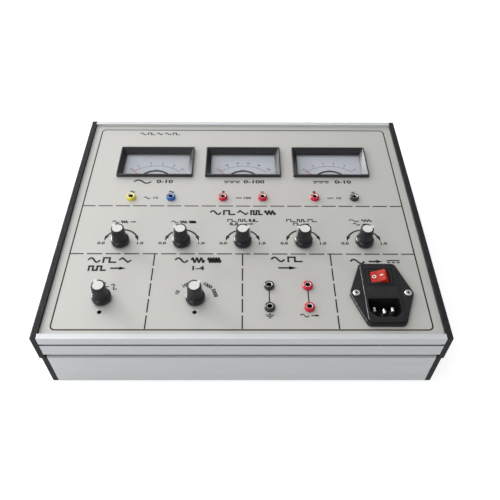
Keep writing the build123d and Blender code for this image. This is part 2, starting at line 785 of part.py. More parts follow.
def rocker_well():
    half_length = rocker_sweep_radius + rocker_clearance
    half_width = rocker_width / 2 + rocker_clearance
    well = block((-half_length, half_length), (-half_width, half_width),
                 (rocker_pivot_z - half_length, block_top))
    pin_reach = half_width + rocker_pin_length
    pin_hole = Pos(0, 0, rocker_pivot_z) * Rot(90, 0, 0) * Cylinder(rocker_pin_radius + rocker_pin_clearance,
                                                                    2 * pin_reach)
    frame_line = (slab(rocker_frame_width, rocker_frame_height, block_top - rocker_frame_depth, block_top)
                  - slab(rocker_frame_width - 2 * rocker_frame_line,
                         rocker_frame_height - 2 * rocker_frame_line,
                         block_top - rocker_frame_depth, block_top))
    return well + pin_hole + frame_line


def power_rocker():
    half = rocker_width / 2
    ends = [(rocker_top_reach, rocker_end_rise), (rocker_foot_reach, -rocker_foot_drop),
            (rocker_foot_reach, -rocker_belly)]
    outline = Polyline((0, rocker_middle_rise), *ends, *[(-x, z) for x, z in reversed(ends)], close=True)
    paddle = extrude(Plane.XZ * make_face(outline), half, both=True)
    paddle = paddle & Rot(90, 0, 0) * Cylinder(rocker_sweep_radius, rocker_width)
    pin = Rot(90, 0, 0) * Cylinder(rocker_pin_radius, rocker_width + 2 * rocker_pin_length)
    rocker = Rot(0, -rocker_tilt, 0) * (paddle + pin)
    return Pos(inlet_x, inlet_y + rocker_y, rocker_pivot_z) * rocker


def drawer_slot():
    gap = 2 * drawer_clearance
    plate_bottom = block_top - drawer_plate_thickness
    plate = slab(drawer_plate_width + gap, drawer_plate_height + gap, plate_bottom, block_top)
    guide = slab(drawer_body_width + gap, drawer_body_height + gap,
                 plate_bottom - drawer_depth - 1, plate_bottom)
    return plate + guide


def fuse_drawer():
    plate_bottom = block_top - drawer_plate_thickness
    body = slab(drawer_plate_width, drawer_plate_height, plate_bottom, block_top)
    body += slab(drawer_body_width, drawer_body_height, plate_bottom - drawer_depth, plate_bottom)
    cradle = block((-fuse_length / 2 - fit_clearance, fuse_length / 2 + fit_clearance),
                   (-fuse_radius, drawer_body_height / 2),
                   (block_top - fuse_drop - fuse_radius, block_top - fuse_drop + fuse_radius))
    return Pos(inlet_x, inlet_y + drawer_y, 0) * (body - cradle)


def fuse_link():
    glass = Rot(0, 90, 0) * Cylinder(fuse_radius - 0.2, fuse_length - 2)
    cap = Rot(0, 90, 0) * Cylinder(fuse_radius, fuse_cap_length)
    offset = (fuse_length - fuse_cap_length) / 2
    fuse = glass + Pos(-offset, 0, 0) * cap + Pos(offset, 0, 0) * cap
    return Pos(inlet_x, inlet_y + drawer_y, block_top - fuse_drop) * fuse


def socket_recess():
    half_width = socket_recess_width / 2
    half_height = socket_recess_height / 2
    cut = socket_recess_chamfer
    outline = make_face(Polyline((half_width, half_height), (half_width, cut - half_height),
                                 (half_width - cut, -half_height), (cut - half_width, -half_height),
                                 (-half_width, cut - half_height), (-half_width, half_height), close=True))
    outline = fillet(outline.vertices().group_by(Axis.Y)[-1], socket_recess_corner)
    return extrude(Pos(0, 0, block_top - socket_recess_depth) * outline, socket_recess_depth)


def blades():
    tails = inlet_body_bottom - blade_tail
    tips = block_top - blade_tip_drop
    line_blade = slab(blade_thickness, blade_width, tails, tips)
    earth_blade = slab(blade_thickness, blade_width, tails, tips + earth_blade_lead)
    line_y = socket_recess_y + line_blade_offset
    placed = at([(-blade_pitch / 2, line_y), (blade_pitch / 2, line_y)], line_blade)
    return placed + at([(0, socket_recess_y - earth_blade_offset)], earth_blade)


def inlet_pins():
    pins = []
    for blade in blades():
        tip = blade.faces().sort_by(Axis.Z)[-1]
        pins.append(Pos(inlet_x, inlet_y, 0) * chamfer(tip.edges(), blade_thickness / 4))
    return pins


def inlet_screws():
    screw = pan_screw(ear_top, ear_top - panel_bottom + m3_nut_height + 1.5)
    inner_nut = nut(m3_nut_flats, m3_radius, panel_bottom - m3_nut_height, panel_bottom)
    return at(inlet_screw_places, screw) + at(inlet_screw_places, inner_nut)


# Inside the case

def transformer():
    bottom = base_plate_top
    top = bottom + core_height
    half = core_width / 2
    stack = core_stack / 2
    window_width_each = half - 2 * core_limb
    core = block((-half, half), (-stack, stack), (bottom, top))
    middle = (bottom + top) / 2
    window_z_limits = (middle - coil_height / 2 - 0.2, middle + coil_height / 2 + 0.2)
    for side in (-1, 1):
        limits = sorted((side * core_limb, side * (core_limb + window_width_each)))
        core -= block(limits, (-stack, stack), window_z_limits)
    reach = core_limb + window_width_each - 0.2
    coil = block((-reach, reach), (-coil_depth / 2, coil_depth / 2),
                 (middle - coil_height / 2, middle + coil_height / 2))
    coil -= block((-core_limb - 0.1, core_limb + 0.1), (-stack - 0.1, stack + 0.1),
                  (middle - coil_height / 2, middle + coil_height / 2))
    bracket_reach = half + bracket_foot_length
    foot = block((-bracket_reach, bracket_reach), (-stack, stack), (bottom, bracket_top))
    foot_holes = at([(side * bracket_hole_reach, 0) for side in (-1, 1)],
                    rod(m3_hole_radius, bottom, bracket_top))
    core += foot - foot_holes
    return at([(transformer_x, transformer_y)], core) + at([(transformer_x, transformer_y)], coil)


def board_standoffs():
    post = rod(standoff_radius, base_plate_top, board_bottom)
    post += rod(standoff_pin_radius, base_plate_bottom, board_top + 1)
    return at(standoff_places, post)


def circuit_board():
    board = Pos(board_x, board_y, 0) * slab(board_width, board_depth, board_bottom, board_top, board_corner)
    board -= at(standoff_places, rod(standoff_pin_radius, board_bottom, board_top))
    length, width, height = chip_size
    chip = slab(length, width, board_top, board_top + height)
    capacitor = rod(capacitor_radius, board_top, board_top + capacitor_height)
    columns = [board_x + (place - 1.5) * component_pitch for place in range(4)]
    chips = at([(x, board_y + side * component_pitch / 2) for x in columns for side in (-1, 1)], chip)
    capacitors = at([(x, board_y - board_depth / 2 + 2 * capacitor_radius + standoff_radius)
                     for x in columns], capacitor)
    return [board] + chips + capacitors


# Every node of the assembly

def build_nodes():
    rear = Plane.XZ
    front_upper = upper_rail()
    front_lower = lower_rail()
    nodes = {
        "panel_plate": panel_plate(),
        "front_upper_rail": front_upper,
        "rear_upper_rail": mirror(front_upper, rear),
        "front_lower_rail": front_lower,
        "rear_lower_rail": mirror(front_lower, rear),
        "left_cheek": cheek(-1),
        "right_cheek": cheek(1),
        "base_plate": base_plate(),
        "rubber_feet": at(foot_places, foot()),
        "case_screws": case_screws(),
        "potentiometer_bodies": potentiometer_bodies(),
        "selector_bodies": selector_bodies(),
        "panel_nuts": panel_nuts(),
        "inlet_body": inlet_body(),
        "inlet_pins": inlet_pins(),
        "power_rocker": power_rocker(),
        "fuse_drawer": fuse_drawer(),
        "fuse_link": fuse_link(),
        "inlet_screws": inlet_screws(),
        "transformer": transformer(),
        "circuit_board": circuit_board(),
        "board_standoffs": board_standoffs(),
    }
    meter_places = [(x, meter_y) for x in meters.values()]
    bezels = at(meter_places, meter_bezel())
    pointers = at(meter_places, meter_pointer())
    for place, name in enumerate(meters):
        nodes[name + "_meter_bezel"] = bezels[place]
        nodes[name + "_meter_pointer"] = pointers[place]
        nodes[name + "_meter_case"] = [Pos(*meter_places[place], 0) * piece for piece in meter_case()]
    nodes["meter_windows"] = at(meter_places, meter_window())
    nodes["meter_dials"] = at(meter_places, meter_dial())
    nodes["meter_movements"] = at(meter_places, meter_movement())
    knob = Pos(0, 0, knob_bottom) * knob_body()
    cap = Pos(0, 0, knob_bottom) * cap_shape(knob_height - cap_recess)
    shaft = control_shaft()
    for name, x, y, angle in controls:
        turned = Pos(x, y, 0) * Rot(0, 0, -angle)
        nodes[name + "_knob"] = turned * knob
        nodes[name + "_knob_cap"] = turned * cap
        nodes[name + "_shaft"] = turned * shaft
    sleeve = jack_sleeve()
    nodes["yellow_jack"] = at(yellow_places, sleeve)
    nodes["blue_jack"] = at(blue_places, sleeve)
    nodes["red_jacks"] = at(red_places, sleeve)
    nodes["black_jacks"] = at(black_places, sleeve)
    nodes["jack_contacts"] = at(jack_places, jack_contact())
    return nodes


def write_nodes(nodes):
    os.makedirs("parts", exist_ok=True)
    for name, shape in nodes.items():
        pieces = shape if isinstance(shape, list) else [shape]
        solids = [solid for piece in pieces for solid in piece.solids()]
        whole = solids[0] if len(solids) == 1 else Compound(children=solids)
        export_step(whole, os.path.join("parts", name + ".step"))
        print(name, len(solids), "solids")


write_nodes(build_nodes())
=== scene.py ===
import json
import math

import bmesh
import bpy
from mathutils import Matrix, Vector


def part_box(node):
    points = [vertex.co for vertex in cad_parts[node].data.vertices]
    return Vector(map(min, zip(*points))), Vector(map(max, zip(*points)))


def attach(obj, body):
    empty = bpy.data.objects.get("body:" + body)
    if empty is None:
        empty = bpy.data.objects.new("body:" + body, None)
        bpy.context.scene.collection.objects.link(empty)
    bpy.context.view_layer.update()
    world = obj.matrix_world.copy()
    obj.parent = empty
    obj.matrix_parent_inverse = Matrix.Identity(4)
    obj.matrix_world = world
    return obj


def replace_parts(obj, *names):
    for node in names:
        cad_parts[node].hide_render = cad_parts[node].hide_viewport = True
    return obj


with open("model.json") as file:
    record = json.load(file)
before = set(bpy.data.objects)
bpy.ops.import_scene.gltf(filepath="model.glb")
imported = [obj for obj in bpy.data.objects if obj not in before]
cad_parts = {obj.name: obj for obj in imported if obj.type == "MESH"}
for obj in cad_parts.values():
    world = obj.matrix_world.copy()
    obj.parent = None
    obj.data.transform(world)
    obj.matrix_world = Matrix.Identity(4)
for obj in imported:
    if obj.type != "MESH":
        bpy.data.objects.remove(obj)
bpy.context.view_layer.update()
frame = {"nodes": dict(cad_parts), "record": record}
nodes = frame["nodes"]
slotOfNode = {entry["node"]: entry["material_slot"] for entry in frame["record"]["subparts"]}
mm = 0.001
print("frame loaded:", len(nodes), "nodes")


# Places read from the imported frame, in millimetres

def nodeBox(node):
    low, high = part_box(node)
    return low / mm, high / mm


def boxMiddle(node):
    low, high = nodeBox(node)
    return (low + high) / 2


def solidMiddles(node):
    # the middle of each loose solid of a node, left to right
    mesh = bmesh.new()
    mesh.from_mesh(nodes[node].data)
    bmesh.ops.remove_doubles(mesh, verts=mesh.verts, dist=1e-6)
    middles = []
    left = set(mesh.verts)
    while left:
        island = [left.pop()]
        for vert in island:
            for edge in vert.link_edges:
                other = edge.other_vert(vert)
                if other in left:
                    left.remove(other)
                    island.append(other)
        low = Vector([min(vert.co[axis] for vert in island) for axis in range(3)])
        high = Vector([max(vert.co[axis] for vert in island) for axis in range(3)])
        middles.append((low + high) / (2 * mm))
    mesh.free()
    return sorted(middles, key=lambda middle: (round(middle.y), round(middle.x)))


panelTop = nodeBox("panel_plate")[1].z
meterNames = ("left", "centre", "right")
potNames = ("amplitude", "frequency", "duty_ratio", "square_linear", "sine_linear")
selectorNames = ("waveform", "range")
contactTop = nodeBox("jack_contacts")[1].z


# Mesh helpers; every length is in millimetres until the mesh is made

def linked(name, data):
    piece = bpy.data.objects.new(name, data)
    bpy.context.scene.collection.objects.link(piece)
    return piece


def makeObject(name, verts, faces, body, slot=None, material=None, sharp=32):
    mesh = bpy.data.meshes.new(name)
    mesh.from_pydata([Vector(vert) * mm for vert in verts], [], faces)
    mesh.validate()
    mesh.shade_smooth()
    mesh.set_sharp_from_angle(angle=math.radians(sharp))
    mesh.materials.append(material or finishes[slot])
    piece = linked(name, mesh)
    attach(piece, body)
    return piece


def lathe(profile, steps, centre=(0, 0, 0), ripple=None):
    # profile points are (radius, height); one that starts and ends on the axis makes a solid
    verts, rows = [], []
    for level, (radius, height) in enumerate(profile):
        if radius == 0:
            rows.append([len(verts)])
            verts.append((centre[0], centre[1], centre[2] + height))
            continue
        rows.append(list(range(len(verts), len(verts) + steps)))
        for step in range(steps):
            angle = 2 * math.pi * step / steps
            reach = radius + (ripple(level, angle) if ripple else 0)
            verts.append((centre[0] + reach * math.cos(angle), centre[1] + reach * math.sin(angle),
                          centre[2] + height))
    faces = []
    pairs = list(zip(rows, rows[1:]))
    if profile[0][0] and profile[-1][0]:
        pairs.append((rows[-1], rows[0]))
    for lower, upper in pairs:
        for step in range(steps):
            following = (step + 1) % steps
            if len(lower) == 1:
                faces.append((lower[0], upper[following], upper[step]))
            elif len(upper) == 1:
                faces.append((lower[step], lower[following], upper[0]))
            else:
                faces.append((lower[step], lower[following], upper[following], upper[step]))
    return verts, faces


def merged(shapes):
    verts, faces = [], []
    for someVerts, someFaces in shapes:
        start = len(verts)
        verts += someVerts
        faces += [tuple(index + start for index in face) for face in someFaces]
    return verts, faces


def onArc(radius, angle, centre=(0, 0)):
    # angle in degrees from straight up, clockwise
    turn = math.radians(angle)
    return centre[0] + radius * math.sin(turn), centre[1] + radius * math.cos(turn)


def arcPoints(radius, start, end, steps, centre=(0, 0)):
    return [onArc(radius, start + (end - start) * step / steps, centre) for step in range(steps + 1)]


def quarterTurn(steps):
    # cosine and sine at even steps of a quarter turn, without its start
    angles = [math.pi / 2 * step / steps for step in range(1, steps + 1)]
    return [(math.cos(angle), math.sin(angle)) for angle in angles]


def roundedOutline(width, height, radius, steps=5):
    outline = []
    for turn, (sideX, sideY) in enumerate(((1, 1), (-1, 1), (-1, -1), (1, -1))):
        for step in range(steps + 1):
            angle = math.pi / 2 * (turn + step / steps)
            outline.append((sideX * (width / 2 - radius) + radius * math.cos(angle),
                            sideY * (height / 2 - radius) + radius * math.sin(angle)))
    return outline


def ringStack(rings, centre):
    # closed band through rings of the same number of points; each ring is (outline, height)
    verts = [(centre[0] + x, centre[1] + y, z) for outline, z in rings for x, y in outline]
    count = len(rings[0][0])
    faces = []
    for ring in range(len(rings)):
        above = (ring + 1) % len(rings)
        for step in range(count):
            following = (step + 1) % count
            faces.append((ring * count + step, ring * count + following,
                          above * count + following, above * count + step))
    return verts, faces


# Ink and painted shade: thin strips and filled shapes that lie on a face

class InkSheet:
    def __init__(self, bottom, thickness=0.05):
        self.bottom = bottom
        self.top = bottom + thickness
        self.shapes = []

    def stroke(self, points, width, closed=False):
        count = len(points)
        left, right = [], []
        for index, point in enumerate(points):
            before = Vector(points[index - 1] if index or closed else point)
            after = Vector(points[(index + 1) % count] if index < count - 1 or closed else point)
            here = Vector(point)
            arrive = (here - before).normalized() if here != before else (after - here).normalized()
            leave = (after - here).normalized() if after != here else arrive
            normal = Vector((-arrive.y - leave.y, arrive.x + leave.x))
            normal = normal.normalized() if normal.length > 1e-6 else Vector((-arrive.y, arrive.x))
            reach = width / 2 / max(0.5, abs(normal.dot(Vector((-arrive.y, arrive.x)))))
            left.append(here + normal * reach)
            right.append(here - normal * reach)
        verts = [(side.x, side.y, z) for pair in zip(left, right) for side in pair
                 for z in (self.bottom, self.top)]
        faces = []
        for index in range(count if closed else count - 1):
            near, far = 4 * index, 4 * ((index + 1) % count)
            faces += [(near + 1, near + 3, far + 3, far + 1), (near, far, far + 2, near + 2),
                      (near, near + 1, far + 1, far), (near + 3, near + 2, far + 2, far + 3)]
        if not closed:
            end = 4 * (count - 1)
            faces += [(0, 2, 3, 1), (end, end + 1, end + 3, end + 2)]
        self.shapes.append((verts, faces))

    def bar(self, x, y, halfX, halfY, width):
        self.stroke([(x - halfX, y - halfY), (x + halfX, y + halfY)], width)

    def fill(self, points):
        count = len(points)
        verts = [(x, y, z) for z in (self.bottom, self.top) for x, y in points]
        faces = [tuple(range(count - 1, -1, -1)), tuple(range(count, 2 * count))]
        faces += [(step, (step + 1) % count, count + (step + 1) % count, count + step)
                  for step in range(count)]
        self.shapes.append((verts, faces))

    def arrowHead(self, base, tip, width):
        base, tip = Vector(base), Vector(tip)
        along = (tip - base).normalized()
        across = Vector((-along.y, along.x)) * width / 2
        self.fill([tuple(corner) for corner in (base - across, tip, base + across)])

    def number(self, text, place, size, turn=0, bold=0.0, wide=1.0):
        curve = bpy.data.curves.new("number", "FONT")
        curve.body = text
        curve.size = size
        curve.offset = bold
        curve.extrude = (self.top - self.bottom) / 2
        curve.align_x = "CENTER"
        curve.align_y = "CENTER"
        curve.resolution_u = 3
        writer = linked("number", curve)
        graph = bpy.context.evaluated_depsgraph_get()
        mesh = bpy.data.meshes.new_from_object(writer.evaluated_get(graph))
        spot = Matrix.Translation((place[0], place[1], (self.top + self.bottom) / 2))
        stretch = Matrix.Scale(wide, 4, (1, 0, 0))
        mesh.transform(spot @ Matrix.Rotation(math.radians(-turn), 4, "Z") @ stretch)
        self.shapes.append(([tuple(vert.co) for vert in mesh.vertices],
                            [tuple(face.vertices) for face in mesh.polygons]))
        bpy.data.objects.remove(writer)
        bpy.data.meshes.remove(mesh)

    def sine(self, centre, length, height, width, cycles=1, turn=0):
        steps = 14 * cycles
        whole = 2 * math.pi * cycles
        points = [((step / steps - 0.5) * length, height / 2 * math.sin(whole * step / steps))
                  for step in range(steps + 1)]
        self.stroke(turned(points, centre, turn), width)

    def square(self, centre, length, height, width, cycles=1, share=0.5, turn=0):
        points = []
        for cycle in range(cycles):
            start = (cycle / cycles - 0.5) * length
            middle = start + share * length / cycles
            end = start + length / cycles
            points += [(start, -height / 2), (start, height / 2), (middle, height / 2),
                       (middle, -height / 2), (end, -height / 2)]
        for corner, following in zip(points, points[1:]):
            if corner != following:
                self.stroke(turned(extended(corner, following, width / 2), centre, turn), width)

    def triangle(self, centre, length, height, width):
        points = [(-length / 2, 0), (-length / 4, height / 2), (length / 4, -height / 2), (length / 2, 0)]
        self.stroke(turned(points, centre, 0), width)

    def done(self, name, body, material):
        return makeObject(name, *merged(self.shapes), body, material=material, sharp=20)


def turned(points, centre, turn):
    cosine, sine = math.cos(math.radians(-turn)), math.sin(math.radians(-turn))
    return [(centre[0] + cosine * x - sine * y, centre[1] + sine * x + cosine * y) for x, y in points]


def extended(start, end, reach):
    start, end = Vector(start), Vector(end)
    along = (end - start).normalized() * reach
    return [tuple(start - along), tuple(end + along)]


# Shader nodes, and groups that several finishes share

def setInputs(node, values):
    for socket, value in values.items():
        node.inputs[socket].default_value = value


def newNode(tree, kind, operation=None, values=None):
    node = tree.nodes.new(kind)
    if operation:
        node.operation = operation
    setInputs(node, values or {})
    return node


def wire(tree, *wires):
    # each wire runs from a node's output to another node's input
    for start, output, end, entry in wires:
        tree.links.new(start.outputs[output], end.inputs[entry])


def newGroup(name, inputs, outputs):
    group = bpy.data.node_groups.new(name, "ShaderNodeTree")
    for socket, kind, value in inputs:
        entry = group.interface.new_socket(socket, in_out="INPUT", socket_type=kind)
        entry.default_value = value
    for socket, kind in outputs:
        group.interface.new_socket(socket, in_out="OUTPUT", socket_type=kind)
    return group, group.nodes.new("NodeGroupInput"), group.nodes.new("NodeGroupOutput")


def makeGrainGroup():
    # fine surface grain: a mask that varies over the face and a bumped normal
    group, start, end = newGroup(
        "surfaceGrain",
        [("Scale", "NodeSocketFloat", 900.0), ("Stretch", "NodeSocketVector", (1, 1, 1)),
         ("Height", "NodeSocketFloat", 0.1), ("Blotch Scale", "NodeSocketFloat", 18.0)],
        [("Mask", "NodeSocketFloat"), ("Blotch", "NodeSocketFloat"), ("Normal", "NodeSocketVector")])
    place = newNode(group, "ShaderNodeTexCoord")
    stretch = newNode(group, "ShaderNodeVectorMath", "MULTIPLY")
    fine = newNode(group, "ShaderNodeTexNoise", values={"Detail": 3})
    broad = newNode(group, "ShaderNodeTexNoise", values={"Detail": 4})
    bump = newNode(group, "ShaderNodeBump", values={"Distance": 0.0001})
    wire(group, (place, "Object", stretch, 0), (start, "Stretch", stretch, 1),
         (stretch, 0, fine, "Vector"), (start, "Scale", fine, "Scale"), (stretch, 0, broad, "Vector"),
         (start, "Blotch Scale", broad, "Scale"), (fine, "Fac", bump, "Height"),
         (start, "Height", bump, "Strength"), (fine, "Fac", end, "Mask"), (broad, "Fac", end, "Blotch"),
         (bump, "Normal", end, "Normal"))
    return group


def makeEdgeGroup():
    # outer edges that handling has rubbed, broken up by noise
    group, start, end = newGroup(
        "rubbedEdges",
        [("Amount", "NodeSocketFloat", 0.5), ("Noise Scale", "NodeSocketFloat", 120.0)],
        [("Mask", "NodeSocketFloat")])
    shape = newNode(group, "ShaderNodeNewGeometry")
    ramp = newNode(group, "ShaderNodeMapRange", values={"From Min": 0.52, "From Max": 0.62})
    noise = newNode(group, "ShaderNodeTexNoise")
    place = newNode(group, "ShaderNodeTexCoord")
    breakUp = newNode(group, "ShaderNodeMath", "MULTIPLY")
    scaled = newNode(group, "ShaderNodeMath", "MULTIPLY")
    wire(group, (shape, "Pointiness", ramp, "Value"), (place, "Object", noise, "Vector"),
         (start, "Noise Scale", noise, "Scale"), (ramp, "Result", breakUp, 0), (noise, "Fac", breakUp, 1),
         (breakUp, 0, scaled, 0), (start, "Amount", scaled, 1), (scaled, 0, end, "Mask"))
    return group


grainGroup = makeGrainGroup()
edgeGroup = makeEdgeGroup()


# Finishes, one for each material slot of the record, some for print and some for painted shade. Each row
# has two colours, the range of the roughness, the scale and height of the grain, and what differs from
# plain plastic

metal = {"metallic": 1.0}
collarLook = ((0.14, 0.22), 900, 0.08)
tubeLook = ((0.94, 0.93, 0.9), (0.86, 0.85, 0.81), (0.36, 0.5), 500, 0.08)
finishValues = {
    "panel": ((0.57, 0.56, 0.53), (0.54, 0.53, 0.5), (0.42, 0.54), 2600, 0.1, {"metallic": 0.12}),
    # painted shade: the rails are darker between 38.9 and 41.6 mm up, just below the seam between upper and
    # lower rails
    "rail": ((0.67, 0.685, 0.69), (0.62, 0.64, 0.655), (0.44, 0.56), 900, 0.12,
             {"metallic": 0.2, "stretch": (0.02, 1, 1), "blotch": 60, "band": (38.9, 41.6),
              "paintedShadeColour": (0.34, 0.345, 0.36)}),
    "cheek": ((0.015, 0.014, 0.015), (0.01, 0.01, 0.011), (0.42, 0.6), 1900, 0.55,
              {"specular": 0.1, "edge": (0.05, 0.052, 0.055), "worn": 0.5}),
    "base_sheet": ((0.2, 0.205, 0.21), (0.17, 0.175, 0.18), (0.45, 0.6), 1500, 0.3, {}),
    "foot": ((0.018, 0.018, 0.018), (0.028, 0.028, 0.028), (0.65, 0.85), 1200, 0.5, {}),
    "screw": ((0.9, 0.89, 0.86), (0.8, 0.79, 0.76), (0.22, 0.38), 700, 0.12, metal),
    "bezel": ((0.016, 0.016, 0.018), (0.024, 0.024, 0.027), (0.24, 0.36), 1600, 0.18,
              {"edge": (0.09, 0.09, 0.095), "worn": 0.35}),
    "meter_case": ((0.02, 0.02, 0.021), (0.03, 0.03, 0.031), (0.4, 0.55), 1300, 0.3, {}),
    "dial": ((0.62, 0.625, 0.65), (0.59, 0.595, 0.62), (0.5, 0.6), 2200, 0.05, {"specular": 0.0}),
    "movement": ((0.6, 0.62, 0.64), (0.54, 0.56, 0.58), (0.4, 0.5), 1500, 0.1, {"specular": 0.0}),
    "pointer": ((0.84, 0.32, 0.28), (0.76, 0.26, 0.22), (0.4, 0.5), 900, 0.05, {"specular": 0.0}),
    "control_metal": ((0.55, 0.55, 0.52), (0.46, 0.46, 0.43), (0.3, 0.5), 600, 0.2, metal),
    "nut": ((0.66, 0.65, 0.62), (0.55, 0.54, 0.51), (0.2, 0.35), 700, 0.12, metal),
    "yellow": ((0.84, 0.72, 0.05), (0.78, 0.64, 0.04), *collarLook, {}),
    "blue": ((0.015, 0.14, 0.52), (0.012, 0.11, 0.44), *collarLook, {}),
    "red": ((0.66, 0.01, 0.045), (0.56, 0.008, 0.035), *collarLook, {}),
    "black": ((0.018, 0.02, 0.02), (0.028, 0.03, 0.03), *collarLook, {}),
    "contact": (*tubeLook, metal),
    # painted shade: the socket tubes are near black from 1.1 mm below their top downwards, inside the bore
    "socketTube": (*tubeLook, {"metallic": 1.0, "band": (30.0, contactTop - 1.1),
                               "paintedShadeColour": (0.015, 0.015, 0.014)}),
    "inlet": ((0.013, 0.013, 0.014), (0.018, 0.018, 0.019), (0.3, 0.44), 1500, 0.3,
              {"specular": 0.25, "edge": (0.05, 0.05, 0.055), "worn": 0.3}),
    "fuse": ((0.7, 0.69, 0.66), (0.6, 0.59, 0.56), (0.15, 0.3), 500, 0.1, metal),
    "transformer": ((0.16, 0.11, 0.07), (0.11, 0.08, 0.05), (0.35, 0.6), 700, 0.4, {}),
    "board": ((0.02, 0.13, 0.05), (0.03, 0.17, 0.07), (0.25, 0.4), 500, 0.15, {}),
    "standoff": ((0.62, 0.58, 0.44), (0.54, 0.5, 0.37), (0.2, 0.35), 500, 0.1, metal),
    "knob": ((0.006, 0.006, 0.009), (0.01, 0.01, 0.014), (0.12, 0.2), 1500, 0.12, {}),
    "cap": ((0.79, 0.79, 0.775), (0.74, 0.74, 0.725), (0.3, 0.42), 900, 0.1, {}),
    "shaft": ((0.7, 0.7, 0.69), (0.62, 0.62, 0.61), (0.2, 0.35), 500, 0.15, metal),
    "ink": ((0.015, 0.014, 0.016), (0.026, 0.024, 0.026), (0.5, 0.6), 1500, 0.05, {"specular": 0.2}),
    "dialInk": ((0.05, 0.055, 0.07), (0.08, 0.085, 0.1), (0.5, 0.6), 1500, 0.05, {"specular": 0.0}),
    "whiteInk": ((0.82, 0.8, 0.78), (0.72, 0.7, 0.68), (0.4, 0.5), 1500, 0.05, {}),
    # painted shade: the next finishes colour the dark sheets laid where gaps, holes and screw crosses lie
    # in shadow; the black one is also the meter covers' real black ring
    "shade": ((0.22, 0.225, 0.235), (0.18, 0.185, 0.195), (0.6, 0.8), 900, 0.1, {}),
    "ledgeShade": ((0.5, 0.505, 0.52), (0.44, 0.445, 0.46), (0.5, 0.7), 900, 0.1, {}),
    "blackRingAndShade": ((0.012, 0.012, 0.014), (0.02, 0.02, 0.022), (0.5, 0.6), 1200, 0.1, {"specular": 0.1}),
}


def mixColours(tree, first, second, factor):
    mix = newNode(tree, "ShaderNodeMix")
    mix.data_type = "RGBA"
    for socket, colour in ((6, first), (7, second)):
        if isinstance(colour, tuple):
            mix.inputs[socket].default_value = (*colour, 1)
        else:
            tree.links.new(colour, mix.inputs[socket])
    tree.links.new(factor, mix.inputs[0])
    return mix.outputs[2]


def groupNode(tree, group, values):
    node = newNode(tree, "ShaderNodeGroup")
    node.node_tree = group
    setInputs(node, values)
    return node


def heightBand(tree, low, high):
    # 1 between two heights of the whole object, in millimetres: the mask of the painted shade bands
    place = newNode(tree, "ShaderNodeTexCoord")
    split = newNode(tree, "ShaderNodeSeparateXYZ")
    inside = newNode(tree, "ShaderNodeMath", "COMPARE",
                     {1: (low + high) / 2 * mm, 2: (high - low) / 2 * mm})
    wire(tree, (place, "Object", split, 0), (split, "Z", inside, 0))
    return inside.outputs[0]


def newMaterial(name, values):
    material = bpy.data.materials.new(name)
    material.use_nodes = True
    shader = material.node_tree.nodes["Principled BSDF"]
    setInputs(shader, values)
    return material, material.node_tree, shader


def varyRoughness(tree, shader, grain, mask, rough):
    # between two values, with a mask of the grain
    sheen = newNode(tree, "ShaderNodeMapRange", values={"To Min": rough[0], "To Max": rough[1]})
    wire(tree, (grain, mask, sheen, "Value"), (sheen, "Result", shader, "Roughness"))


def makeFinish(name, colour, second, rough, scale, height, metallic=0.0, stretch=(1, 1, 1), blotch=18,
               specular=0.5, edge=None, worn=0.0, band=None, paintedShadeColour=None):
    material, tree, shader = newMaterial(name, {"Metallic": metallic, "Specular IOR Level": specular})
    grain = groupNode(tree, grainGroup, {"Scale": scale, "Stretch": stretch, "Height": height,
                                         "Blotch Scale": blotch})
    base = mixColours(tree, colour, second, grain.outputs["Blotch"])
    if edge:
        base = mixColours(tree, base, edge, groupNode(tree, edgeGroup, {"Amount": worn}).outputs["Mask"])
    # painted shade: a darker colour between two heights of the object
    if band:
        base = mixColours(tree, base, paintedShadeColour, heightBand(tree, *band))
    tree.links.new(base, shader.inputs["Base Color"])
    varyRoughness(tree, shader, grain, "Mask", rough)
    wire(tree, (grain, "Normal", shader, "Normal"))
    return material


def makeGlass(name, colour, rough, clear):
    # clear to shadow rays, so that the dial behind it is lit
    material, tree, shader = newMaterial(name, {"Base Color": (*colour, 1), "Transmission Weight": 1.0,
                                                "IOR": 1.46})
    grain = groupNode(tree, grainGroup, {"Scale": 300.0, "Height": 0.02})
    varyRoughness(tree, shader, grain, "Blotch", rough)
    light = newNode(tree, "ShaderNodeLightPath")
    clearPart = newNode(tree, "ShaderNodeBsdfTransparent", values={"Color": (*clear, 1)})
    mix = newNode(tree, "ShaderNodeMixShader")
    either = newNode(tree, "ShaderNodeMath", "MAXIMUM")
    wire(tree, (light, "Is Shadow Ray", either, 0), (light, "Is Diffuse Ray", either, 1),
         (either, 0, mix, 0), (shader, 0, mix, 1), (clearPart, 0, mix, 2),
         (mix, 0, tree.nodes["Material Output"], "Surface"))
    return material


def makeRockerRed():
    # translucent red moulding with a soft glow inside
    material = makeFinish("rocker", (0.54, 0.032, 0.014), (0.42, 0.016, 0.010), (0.30, 0.42), 500, 0.05,
                          specular=0.25)
    setInputs(material.node_tree.nodes["Principled BSDF"], {
        "Subsurface Weight": 0.35, "Subsurface Radius": (0.004, 0.001, 0.0005), "Subsurface Scale": 0.6,
        "Coat Weight": 0.05, "Coat Roughness": 0.1})
    return material


finishes = {name: makeFinish(name, *look, **more) for name, (*look, more) in finishValues.items()}
finishes["window"] = makeGlass("window", (0.97, 0.985, 1.0), (0.0, 0.03), (0.95, 0.96, 0.97))
finishes["rocker"] = makeRockerRed()
for nodeName, node in nodes.items():
    node.data.materials.clear()
    node.data.materials.append(finishes[slotOfNode[nodeName]])
print("finishes made:", len(finishes))


# Knobs

